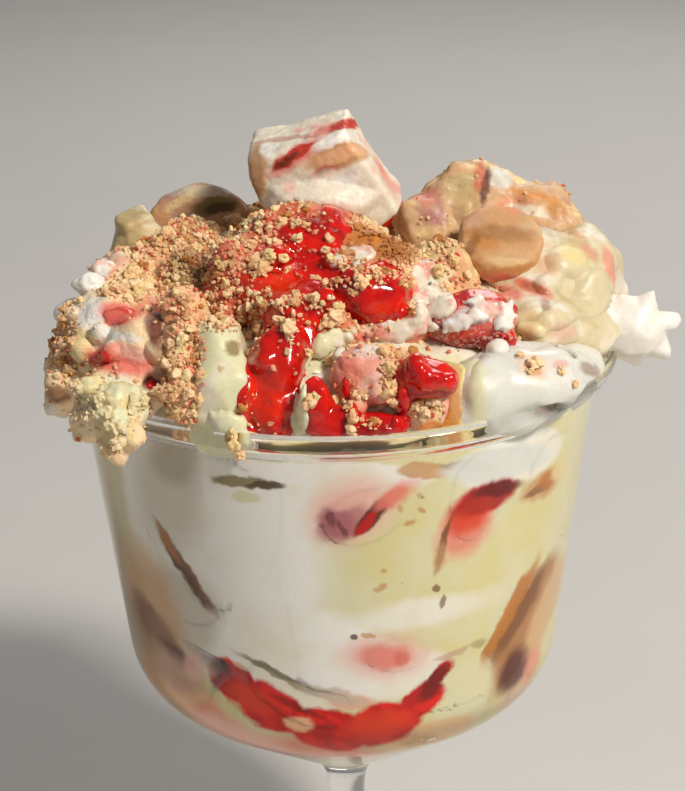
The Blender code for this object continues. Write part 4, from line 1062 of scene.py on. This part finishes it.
def draped(name, slot, material, thick, zone, edge=0.4, waver=0.22, ripple=0.3, rounds=5,
           texture="sauce_ripples"):
    """Sauce or cream draped on what the picture shows in a zone of ellipses.

    The sheet dips under the surface at its edge, and has a body below it. Its thickness
    and ripple are millimetres.
    """
    reaches = [(u, v, max(wide, tall) + ZONE_MARGIN) for u, v, wide, tall, turn in zone]
    low_u, high_u = min(u - r for u, v, r in reaches), max(u + r for u, v, r in reaches)
    low_v, high_v = min(v - r for u, v, r in reaches), max(v + r for u, v, r in reaches)
    deselect_all()
    bpy.ops.mesh.primitive_grid_add(x_subdivisions=int((high_u - low_u) / SHEET_STEP),
                                    y_subdivisions=int((high_v - low_v) / SHEET_STEP),
                                    size=2)
    piece = bpy.context.object
    piece.name = name
    shift = Vector((len(name) * 3.1, thick * 17, 0))    # other waves on each sheet
    mesh = bmesh.new()
    mesh.from_mesh(piece.data)
    outside = []
    for corner in mesh.verts:
        u = low_u + (high_u - low_u) * (corner.co.x + 1) / 2
        v = high_v + (low_v - high_v) * (corner.co.y + 1) / 2
        spot = Vector((u, v, 0)) + shift
        broad, fine = (noise.noise(spot / wave) for wave in EDGE_WAVES)
        share = inside_zone(u, v, zone)
        share += waver * (broad + FINER_WAVES * fine)
        if share < SHEET_END:
            outside.append(corner)
            continue
        place, normal = on_heap(u, v)
        own, back = SHEET_OUT
        out = (normal * own - line_of_sight(u, v) * back).normalized()
        rise = min(max(share / edge, 0), 1)
        rise = rise * (2 - rise)
        corner.co = place + out * (thick * rise - SHEET_DIP * (1 - rise)) * MM
    bmesh.ops.delete(mesh, geom=outside, context="VERTS")
    torn = [line for line in mesh.edges if line.calc_length() > SHEET_TEAR]
    bmesh.ops.delete(mesh, geom=torn, context="EDGES")
    loose = [corner for corner in mesh.verts if not corner.link_faces]
    bmesh.ops.delete(mesh, geom=loose, context="VERTS")
    mesh.to_mesh(piece.data)
    mesh.free()
    apply_modifier(piece, "SMOOTH", factor=0.5, iterations=rounds)
    roughen(piece, texture, ripple)
    apply_modifier(piece, "SOLIDIFY", thickness=SHEET_BODY, offset=-1)
    smooth_faces(piece)
    settle(piece, slot, material)
    return piece


# A zone's rows are u, v, half width, half height, turn
LAID_ON = (                    # piece, slot, material, thickness in mm, zone, how it lies
    ("poured_strawberry_sauce", "sauce", "poured_sauce", 0.9,
     ((330, 222, 17, 18, 20), (308, 240, 44, 28, 24), (286, 268, 52, 32, 14),
      (314, 292, 50, 26, 8), (268, 300, 34, 22, 0), (352, 288, 34, 22, 0),
      (378, 293, 38, 33, 0)),
     {"ripple": 0.8, "texture": "soft_lumps", "rounds": 14}),
    ("strawberry_sauce_stream", "sauce", "poured_sauce", 1.0,
     ((294, 316, 36, 22, 0), (288, 342, 34, 30, 0), (277, 374, 35, 34, -8),
      (267, 404, 32, 32, 0), (268, 430, 27, 18, 0)),
     {"ripple": 0.6, "texture": "soft_lumps", "rounds": 34, "waver": 0.06}),
    ("front_gel", "sauce", "front_gel_sauce", 0.8,
     ((346, 388, 5, 14, 8), (354, 416, 8, 15, 14), (376, 432, 28, 11, -4),
      (400, 423, 11, 12, 0), (404, 400, 6, 16, 0), (412, 370, 9, 17, 0)),
     {"ripple": 0.5}),
    ("front_jelly", "sauce", "front_jelly_sauce", 1.7,
     ((430, 380, 24, 12, -4), (418, 366, 11, 14, 0), (448, 382, 9, 11, 0)),
     {"edge": 0.6, "ripple": 0.8}),
    ("left_gel", "sauce", "left_gel_sauce", 0.4,
     ((118, 316, 19, 10, 10), (152, 384, 8, 7, 0), (100, 357, 12, 8, 0)),
     {}),
    ("cream_on_mound", "cream", "rosy_cream", 0.5,
     ((353, 256, 27, 11, 14),),
     {"ripple": 0.5, "waver": 0.4}),
    ("cream_under_pool", "cream", "rosy_cream", 0.7,
     ((396, 330, 46, 12, 8), (424, 286, 16, 34, 0), (440, 306, 20, 14, 10)),
     {"ripple": 0.6, "waver": 0.3}),
    ("cream_beside_chunk", "cream", "pale_green_cream", 0.7,
     ((330, 344, 28, 17, 30), (308, 364, 18, 16, 0), (300, 396, 8, 22, 0),
      (299, 418, 11, 20, 0)),
     {"ripple": 0.6, "waver": 0.3}),
    ("cream_ridge_foot", "cream", "pale_green_cream", 1.4,
     ((230, 424, 24, 13, -24), (250, 437, 13, 8, 0)),
     {"ripple": 0.5}),
    ("smooth_dollop", "cream", "smooth_cream", 1.1,
     ((520, 388, 58, 42, 4), (558, 374, 44, 28, -8), (508, 412, 48, 24, 4),
      (494, 392, 26, 44, 4)),
     {"edge": 0.22, "ripple": 0.0, "rounds": 60, "waver": 0.08}),
    ("crumbed_cream_left", "cream", "yellow_cream", 1.5,
     ((118, 396, 28, 14, -6), (94, 388, 18, 10, -10), (118, 418, 11, 16, 0),
      (120, 438, 8, 11, 0)),
     {"ripple": 1.2, "texture": "crumb_grains"}),
    ("cream_on_slice", "cream", "pinkish_cream", 1.0,
     ((460, 322, 20, 9, 24), (484, 311, 26, 11, 14), (505, 318, 10, 14, 0),
      (476, 300, 14, 6, 10)),
     {"ripple": 0.7, "texture": "crumb_grains", "rounds": 2, "waver": 0.6}),
    ("cream_on_right", "cream", "warm_cream", 1.0,
     ((566, 262, 26, 20, -30), (592, 292, 22, 30, 0), (560, 316, 28, 16, 20),
      (530, 330, 20, 9, -10), (548, 284, 18, 12, 0)),
     {"edge": 0.7, "ripple": 0.8, "texture": "soft_lumps", "rounds": 24, "waver": 0.12}),
)
CREAM_BALLS = (                # piece, u, v, half width in pixels, unevenness in mm, material
    ("cream_ball", 498, 348, 12, 0.6, "laid_cream"),
    ("cream_corner", 92, 287, 16, 2.0, "laid_cream"),
    ("cream_corner_top", 104, 272, 12, 1.5, "pinkish_cream"),
)
POURED = (                     # patches, as on the heap
    # painted highlight: this first orange_red patch on the pool
    ("orange_red", 0.4, 382, 309, 11, 6, 0, 0.9),
    ("orange_red", 0.35, 266, 392, 20, 36, -12, 0.9),
    ("orange_red", 0.5, 262, 290, 40, 26, 0, 0.9), ("sauce_dark", 0.5, 318, 226, 12, 12),
    ("sauce_dark", 0.5, 348, 282, 10, 12),
)
FRONT_GEL = (
    ("sauce_dark", 0.5, 372, 430, 22, 9, 0, 0.9),
)
LEFT_GEL = (
    ("pink", 0.8, 110, 318, 24, 9, 0, 0.9), ("pink", 0.7, 98, 357, 10, 8, 0, 0.9),
)


def cream_ball(name, u, v, wide, uneven, material):
    """Small ball of cream on what a pixel shows."""
    place, normal = on_heap(u, v)
    radius = wide * pixel_size(place)
    deselect_all()
    bpy.ops.mesh.primitive_uv_sphere_add(segments=40, ring_count=24, radius=radius)
    piece = bpy.context.object
    piece.name = name
    bpy.ops.object.mode_set(mode="EDIT")
    bpy.ops.mesh.select_all(action="SELECT")
    bpy.ops.transform.resize(value=(1, 1, BALL_FLATNESS))
    bpy.ops.transform.translate(value=place + normal * radius * BALL_RISE)
    bpy.ops.object.mode_set(mode="OBJECT")
    roughen(piece, "sauce_ripples", uneven)
    smooth_faces(piece)
    settle(piece, "cream", material)
    return piece


def laid_on_materials():
    """Materials of the sauce, gel and cream that lie over the heap, by name."""
    cream = {"relief": 0.12, "rough": 0.34}
    mixed = {"share": (0.42, 0.6), "size": 4}
    made = (
        soft_material("pale_green_cream", "cream_green", "cream", **cream),
        soft_material("smooth_cream", "cool_white", "white", DOLLOP, relief=0.08, rough=0.32,
                      share=(0.55, 0.75)),
        soft_material("laid_cream", "white", "cream_green", relief=0.15, rough=0.34),
        soft_material("rosy_cream", "cream", "pink", relief=0.4, rough=0.36,
                      share=(0.46, 0.7), size=4),
        soft_material("pinkish_cream", "white", "pale_pink", relief=0.2, rough=0.36, **mixed),
        soft_material("yellow_cream", "cream_green", "crumb_pale", relief=0.4, rough=0.45,
                      **mixed),
        soft_material("warm_cream", "cream_dim", "cream", RIGHT_CLUMP, relief=0.3,
                      share=(0.42, 0.6), size=5, smear="pale_pink"),
        sauce_material("poured_sauce", POURED),
        sauce_material("front_gel_sauce", FRONT_GEL),
        sauce_material("front_jelly_sauce"),
        sauce_material("left_gel_sauce", LEFT_GEL),
    )
    return {material.name: material for material in made}


def make_laid_on():
    """Sauce, gel and cream that lie over the heap's pieces, by name."""
    looks = laid_on_materials()
    made = [draped(name, slot, looks[look], thick, zone, **how)
            for name, slot, look, thick, zone, how in LAID_ON]
    made += [cream_ball(*row, looks[look]) for *row, look in CREAM_BALLS]
    return {piece.name: piece for piece in made}


# ---- crumbs

def crumb_shape(chance, divisions, rough):
    """Corners and faces of one crumb of unit size."""
    mesh = bmesh.new()
    bmesh.ops.create_icosphere(mesh, subdivisions=divisions, radius=0.5)
    shift = Vector([chance.uniform(0, 90) for _ in range(3)])
    squash = [chance.uniform(0.72, 1.1) for _ in range(3)]
    corners = []
    for vertex in mesh.verts:
        swell = 1 + rough * (noise.noise(vertex.co * 2.4 + shift)
                             + 0.6 * noise.noise(vertex.co * 6 + shift))
        corners.append([vertex.co[axis] * swell * squash[axis] for axis in range(3)])
    faces = [[vertex.index for vertex in face.verts] for face in mesh.faces]
    mesh.free()
    return np.array(corners), np.array(faces)


def scatter_points(pieces, spacing, chance):
    """Random points on pieces' faces, with the faces' normals."""
    points, normals = [], []
    for piece in pieces:
        mesh = piece.data
        corners = np.zeros(len(mesh.vertices) * 3)
        mesh.vertices.foreach_get("co", corners)
        corners = corners.reshape(-1, 3)
        mesh.calc_loop_triangles()
        triangles = np.zeros(len(mesh.loop_triangles) * 3, np.int64)
        mesh.loop_triangles.foreach_get("vertices", triangles)
        a, b, c = (corners[triangles.reshape(-1, 3)[:, side]] for side in range(3))
        cross = np.cross(b - a, c - a)
        area = np.linalg.norm(cross, axis=1) / 2
        wanted = int(area.sum() / (spacing * MM) ** 2)
        picked = chance.choice(len(area), wanted, p=area / area.sum())
        one, two = chance.random((2, wanted, 1))
        fold = one + two > 1
        one, two = np.where(fold, 1 - one, one), np.where(fold, 1 - two, two)
        points.append(a[picked] + (b - a)[picked] * one + (c - a)[picked] * two)
        normals.append(cross[picked] / (2 * area[picked, None] + 1e-12))
    return np.concatenate(points), np.concatenate(normals)


def patchy(points, size):
    """Patches of 0 to 1 over points, about a size in millimetres."""
    values = [noise.noise(Vector(point) / (size * MM)) for point in points]
    return np.clip(np.array(values) * 1.6 + 0.55, 0, 1)


def zone_share(points, rows):
    """How much of each zone, an ellipse on the picture with a strength, a point has."""
    share = np.zeros(len(points))
    axes = np.array(camera_matrix().to_3x3())
    for strength, u, v, wide, tall, *turn in rows:
        place, _ = on_heap(u, v)
        pixel = pixel_size(place)
        local = (points - np.array(place)) @ axes
        angle = math.radians(turn[0] if turn else 0)
        across = (local[:, 0] * math.cos(angle) + local[:, 1] * math.sin(angle)) / (wide * pixel)
        upward = (local[:, 1] * math.cos(angle) - local[:, 0] * math.sin(angle)) / (tall * pixel)
        deep = local[:, 2] / ZONE_DEPTH
        reach = np.sqrt(across ** 2 + upward ** 2 + deep ** 2)
        inside = np.clip((ZONE_REACH - reach) / ZONE_FADE, 0, 1)
        share = np.maximum(share, strength * inside)
    return share


def thin_out(points, gap):
    """Indices of points, in order, that keep a gap from those before them."""
    cells = {}
    kept = []
    for index, point in enumerate(points):
        cell = tuple((point // gap).astype(int))
        near = [other for x in (-1, 0, 1) for y in (-1, 0, 1) for z in (-1, 0, 1)
                for other in cells.get((cell[0] + x, cell[1] + y, cell[2] + z), ())]
        if all(np.sum((point - other) ** 2) > gap ** 2 for other in near):
            cells.setdefault(cell, []).append(point)
            kept.append(index)
    return kept


def crumb_piece(name, points, normals, sizes, shapes, chance, slot, material, rise):
    """One mesh of many crumbs, each with a tone of its own.

    Rise is how far a crumb's middle stands out of the surface, as a share of its size.
    """
    corners, faces, tones = [], [], []
    first = 0
    for point, normal, size in zip(points, normals, sizes):
        shape, sides = shapes[chance.integers(len(shapes))]
        turn = np.array(Euler(chance.uniform(0, 2 * math.pi, 3)).to_matrix())
        corners.append(shape @ turn.T * size + point + normal * size * rise)
        faces.append(sides + first)
        tones.append(np.full(len(shape), chance.random()))
        first += len(shape)
    mesh = bpy.data.meshes.new(name)
    corners = np.concatenate(corners)
    faces = np.concatenate(faces)
    mesh.from_pydata(corners.tolist(), [], faces.tolist())
    tone = mesh.attributes.new("tone", "FLOAT", "POINT")
    tone.data.foreach_set("value", np.concatenate(tones).astype(np.float32))
    piece = bpy.data.objects.new(name, mesh)
    bpy.context.scene.collection.objects.link(piece)
    smooth_faces(piece, 30)
    settle(piece, slot, material)
    return piece


def tone_colour(paint, stops):
    """Colour of each crumb or seed after its tone."""
    tone = paint.node("Attribute", {"attribute_name": "tone"}, out="Fac")
    return paint.node("ValToRGB", {"stops": stops}, {0: tone})


def crumb_material(name, stops, tints_and_shade):
    """Crumbs from their tones, redder where the sauce has soaked in, with other crumb tints and
    painted shade in patches.
    """
    paint = Paint(name, {**DRY, "Subsurface Weight": 0.35})
    colour = tone_colour(paint, stops)
    mottled = paint.ramp(paint.noise(0.5, 3), 0.35, 0.7, 0.0, 0.4)
    colour = paint.blend(mottled * 0.6, colour, "tan")
    paint.wave(3, 1.2)
    colour = paint.patches(colour, on_heap, tints_and_shade)
    return paint.finish(colour, 0.7, paint.bump(paint.noise(0.35, 3), 0.5, 0.2))


PINK_STOPS = ((0.0, "soaked"), (0.14, "crumb_pink"), (0.35, "peach"), (0.6, "crumb_light"),
              (0.8, "crumb"), (1.0, "crumb_pale"))
GOLD_STOPS = ((0.0, "golden"), (0.2, "tan"), (0.45, "crumb"), (0.7, "crumb_light"),
              (1.0, "crumb_pale"))
NUGGET_STOPS = ((0.0, "crumb_pale"), (0.5, "crumb"), (1.0, "crumb_light"))

DENSE = (                      # strength, u, v, half width, half height, turn
    (0.95, 244, 232, 34, 34), (0.95, 226, 282, 20, 40), (0.8, 248, 314, 30, 18),
    (0.9, 220, 322, 20, 11), (0.8, 300, 245, 34, 30), (1.0, 380, 234, 44, 18),
    (0.6, 360, 275, 34, 14), (0.8, 405, 300, 12, 22), (0.6, 300, 285, 44, 24),
    (0.8, 184, 360, 20, 66), (0.75, 176, 265, 40, 34), (0.7, 128, 284, 26, 22),
    (0.5, 112, 402, 48, 22), (0.6, 62, 350, 18, 36), (0.6, 350, 322, 20, 8),
    (0.9, 392, 372, 14, 30), (0.6, 424, 405, 20, 16), (0.3, 440, 252, 24, 20),
    (0.4, 340, 345, 14, 14), (0.3, 460, 285, 26, 12), (0.4, 345, 400, 20, 18),
    (0.95, 404, 254, 24, 18), (0.6, 520, 334, 22, 12),
)
BARE = (
    (1.0, 120, 358, 36, 12, -14), (0.8, 118, 318, 18, 8), (1.0, 230, 394, 22, 54),
    (1.0, 515, 390, 74, 38), (0.7, 352, 252, 16, 6), (1.0, 396, 332, 44, 7),
    (0.8, 362, 370, 18, 12), (0.95, 424, 284, 12, 24), (1.0, 432, 378, 24, 14),
    (1.0, 470, 322, 46, 26), (0.95, 326, 345, 22, 9, 20), (1.0, 640, 330, 40, 44),
    (1.0, 88, 290, 16, 18), (0.9, 378, 304, 30, 16), (0.9, 152, 328, 14, 26),
    (0.8, 118, 396, 22, 10),
)
ON_SAUCE = (                   # crumbs that lie on the sauce
    (0.45, 252, 268, 12, 28), (0.12, 318, 262, 30, 20), (0.35, 300, 304, 40, 9),
    (0.55, 358, 276, 34, 12), (0.08, 320, 225, 18, 16), (0.7, 256, 302, 20, 14),
    (0.3, 300, 320, 22, 8), (0.06, 284, 352, 22, 20), (0.2, 250, 404, 6, 20),
    (0.15, 272, 428, 16, 10), (0.25, 376, 428, 26, 8), (0.3, 398, 280, 12, 12),
    (0.3, 298, 216, 14, 10), (0.12, 284, 250, 16, 14), (0.3, 350, 412, 12, 20),
    (0.2, 372, 330, 24, 8), (0.3, 344, 258, 20, 6),
)
NUGGETS = (                    # u, v, size in pixels
    (265, 264, 22), (262, 274, 15), (270, 256, 14), (288, 332, 20), (280, 324, 12),
    (331, 316, 20), (322, 322, 13), (338, 308, 12), (362, 285, 16), (354, 292, 10),
    (376, 276, 10), (389, 368, 14), (388, 390, 20), (394, 402, 12), (310, 402, 14),
    (316, 396, 9), (236, 440, 17), (240, 452, 13), (232, 432, 10), (117, 428, 18),
    (117, 442, 14), (109, 416, 16), (130, 404, 15), (90, 398, 16), (78, 388, 14),
    (102, 400, 14), (142, 402, 12), (150, 268, 13), (128, 276, 16), (136, 292, 14),
    (118, 290, 13), (168, 236, 15), (182, 246, 14), (158, 244, 12), (196, 250, 13),
    (184, 300, 12), (190, 330, 12), (180, 352, 11), (188, 392, 12), (192, 412, 11),
    (440, 270, 12), (452, 262, 14), (424, 412, 13), (432, 400, 12), (414, 404, 11),
    (412, 282, 10), (402, 240, 12), (372, 228, 10), (240, 222, 14), (262, 226, 11),
    (533, 364, 15), (560, 372, 9), (574, 384, 8), (520, 356, 9), (528, 372, 8),
    (70, 368, 12), (62, 352, 12), (232, 218, 12), (248, 246, 11), (222, 262, 12),
    (230, 292, 11), (244, 316, 12), (296, 226, 10), (306, 352, 9), (250, 338, 10),
)
CRUMB_TINTS_AND_SHADE = (
    ("pink", 0.55, 290, 262, 64, 56, 0, 0.9), ("soaked", 0.45, 300, 276, 40, 40, 0, 0.9),
    ("soaked", 0.5, 270, 385, 22, 52, -10), ("wafer", 0.95, 381, 244, 34, 18, -8),
    ("pudding_pale", 0.7, 112, 406, 48, 40), ("crumb_light", 0.6, 130, 286, 36, 24, 0, 0.9),
    # painted shade: the brown patch at the back left
    ("brown", 0.5, 195, 256, 24, 36, 0, 0.9),
)


CRUMB_KINDS = (                # piece, spacing of tries, least and most size, gap, share, kind
    ("middling_crumbs", 0.9, 1.1, 1.9, 1.2, 0.4, "middling"),
    ("fine_crumbs", 0.5, 0.65, 1.1, 0.6, 1.0, "fine"),
    ("crumb_dust", 0.45, 0.34, 0.62, 0.52, 1.0, "fine"),
)
STREWN = {                     # node: share of the crumbs that it holds out of the zones
    "crumbed_mound": 1.0, "left_clump": 0.3, "left_back_lump": 0.7, "crumbed_leg": 0.9,
    "centre_right_lump": 0.2, "front_cake_chunk": 0.35, "back_cake_lump": 0.7,
    "back_left_lump": 0.35, "back_right_lump": 0.35, "right_back_clump": 0.01,
    "cream_heap": 0.2, "front_cream_ridge": 0.0,
}
SAUCY = ("poured_strawberry_sauce", "strawberry_sauce_stream", "front_gel", "cream_on_mound",
         "cream_under_pool")


def crumbs_on_node(piece, spacing, share, thinned, cover, chance):
    """Places of crumbs on a piece of the heap, and the way out of it there."""
    points, normals = scatter_points([piece], spacing, chance)
    wanted = share * (0.2 + 0.8 * patchy(points, 5.0))
    dense = zone_share(points, DENSE) * (0.35 + 0.65 * patchy(points, 3.0))
    wanted = np.where(points[:, 1] < FRONT_Y, np.maximum(0.15 * wanted, dense), wanted)
    wanted = wanted * (1 - 0.95 * zone_share(points, BARE)) * thinned
    keep = (chance.random(len(points)) < wanted) & (normals[:, 2] > STEEPEST)
    for index in np.flatnonzero(keep):
        start, way = Vector(points[index]), Vector(normals[index])
        distance = cover.ray_cast(start, way, COVER_REACH)[3]
        keep[index] = distance is None or distance < COVER_TOUCH
    return points[keep], normals[keep]


def crumbs_on_sauce(piece, spacing, chance):
    """Places of crumbs on a laid-on piece, and the way out of it there."""
    points, normals = scatter_points([piece], spacing, chance)
    wanted = zone_share(points, ON_SAUCE) * (0.2 + 0.8 * patchy(points, 2.5))
    outward = normals @ np.array(-line_of_sight(300, 300)) > 0.1
    keep = (chance.random(len(points)) < wanted * ON_SAUCE_SHARE) & outward
    return points[keep], normals[keep]


def make_crumbs(heap, laid):
    """Cookie crumbs over the heap: dust, fine, middling and large."""
    chance = np.random.default_rng(CRUMB_SEED)
    plain = random.Random(CRUMB_SEED)
    shapes = {"fine": [crumb_shape(plain, 1, 0.9) for _ in range(12)],
              "middling": [crumb_shape(plain, 2, 0.8) for _ in range(8)],
              "large": [crumb_shape(plain, 3, 0.9) for _ in range(6)]}
    cover = tree_of(laid.values())
    looks = {"fine": crumb_material("pink_crumbs", PINK_STOPS, CRUMB_TINTS_AND_SHADE),
             "middling": crumb_material("golden_crumbs", GOLD_STOPS, CRUMB_TINTS_AND_SHADE[3:]),
             "large": crumb_material("large_crumb_baked", NUGGET_STOPS, CRUMB_TINTS_AND_SHADE[4:5])}
    for name, spacing, low, high, gap, thinned, kind in CRUMB_KINDS:
        found = [crumbs_on_node(heap[node], spacing, share, thinned, cover, chance)
                 for node, share in STREWN.items()]
        found += [crumbs_on_sauce(laid[piece], spacing, chance) for piece in SAUCY]
        points, normals = (np.concatenate(parts) for parts in zip(*found))
        order = thin_out(points, gap * MM)
        points, normals = points[order], normals[order]
        sizes = (low + (high - low) * chance.random(len(points)) ** SMALL_BIAS) * MM
        crumb_piece(name, points, normals, sizes, shapes[kind], chance, "cream_crumbed",
                    looks[kind], 0.2)
    spots = [(*seen(u, v, cover), size) for u, v, size in NUGGETS]
    points, normals = (np.array([spot[part] for spot in spots]) for part in (0, 1))
    sizes = [size * pixel_size(place) for place, _, size in spots]
    crumb_piece("large_crumbs", points, normals, sizes, shapes["large"], chance,
                "cream_crumbed", looks["large"], 0.22)


def make_seeds(pieces):
    """Small pale seeds set in the strawberries."""
    chance = np.random.default_rng(SEED_SEED)
    shape, sides = crumb_shape(random.Random(SEED_SEED), 1, 0.1)
    shapes = [(shape * np.array((0.6, 1.0, 0.45)), sides)]
    points, normals = scatter_points(pieces, 1.6, chance)
    order = thin_out(points, 2.6 * MM)
    paint = Paint("strawberry_seed", {"Roughness": 0.35, "Coat Weight": 0.4})
    colour = tone_colour(paint, ((0.0, "seed"), (1.0, "orange")))
    crumb_piece("strawberry_seeds", points[order], normals[order],
                np.full(len(order), 0.75 * MM), shapes, chance, "strawberry",
                paint.finish(colour), 0.1)


# ---- stage

LIGHTS = (                     # light, place, size, power, colour
    ("key_light", (0.52, -0.5, 0.8), 0.16, 10.0, (1.0, 0.94, 0.85)),
    ("fill_light", (-0.8, -0.7, 0.45), 0.9, 0.6, (1.0, 0.95, 0.9)),
    ("rim_light", (0.2, 0.8, 0.7), 0.5, 3, (1.0, 0.97, 0.94)),
)
LIGHTS_AIM = Vector((0, 0, 0.1))
SURROUND = (0.8, 0.8, 0.82, 1)
SURROUND_POWER = 0.215


def make_stage():
    """Pale floor, soft lights and an even surround."""
    bpy.ops.mesh.primitive_plane_add(size=6)
    floor = bpy.context.object
    floor.name = "pale_floor"
    paint = Paint("floor_paint", {"Roughness": 0.7})
    cloud = paint.ramp(paint.noise(60, 2), 0.3, 0.7)
    floor.data.materials.append(paint.finish(paint.blend(cloud * 0.05, "floor", "white")))
    for name, place, size, power, colour in LIGHTS:
        bpy.ops.object.light_add(type="AREA", location=place)
        light = bpy.context.object
        light.name = name
        light.data.size = size
        light.data.energy = power
        light.data.color = colour
        aim = LIGHTS_AIM - Vector(place)
        light.rotation_euler = aim.to_track_quat("-Z", "Y").to_euler()
    world = bpy.data.worlds.new("studio")
    world.use_nodes = True
    background = world.node_tree.nodes["Background"]
    background.inputs["Color"].default_value = SURROUND
    background.inputs["Strength"].default_value = SURROUND_POWER
    bpy.context.scene.world = world
    bpy.context.scene.view_settings.view_transform = "Standard"


make_camera()
make_clouds()
make_cup()
heap_pieces = make_heap()
HEAP_TREE = tree_of(heap_pieces.values())
dress_heap(heap_pieces)
make_fillings()
laid_pieces = make_laid_on()
make_crumbs(heap_pieces, laid_pieces)
make_seeds([heap_pieces[node] for node in heap_pieces if "strawberry" in node])
make_stage()

bpy.context.view_layer.update()
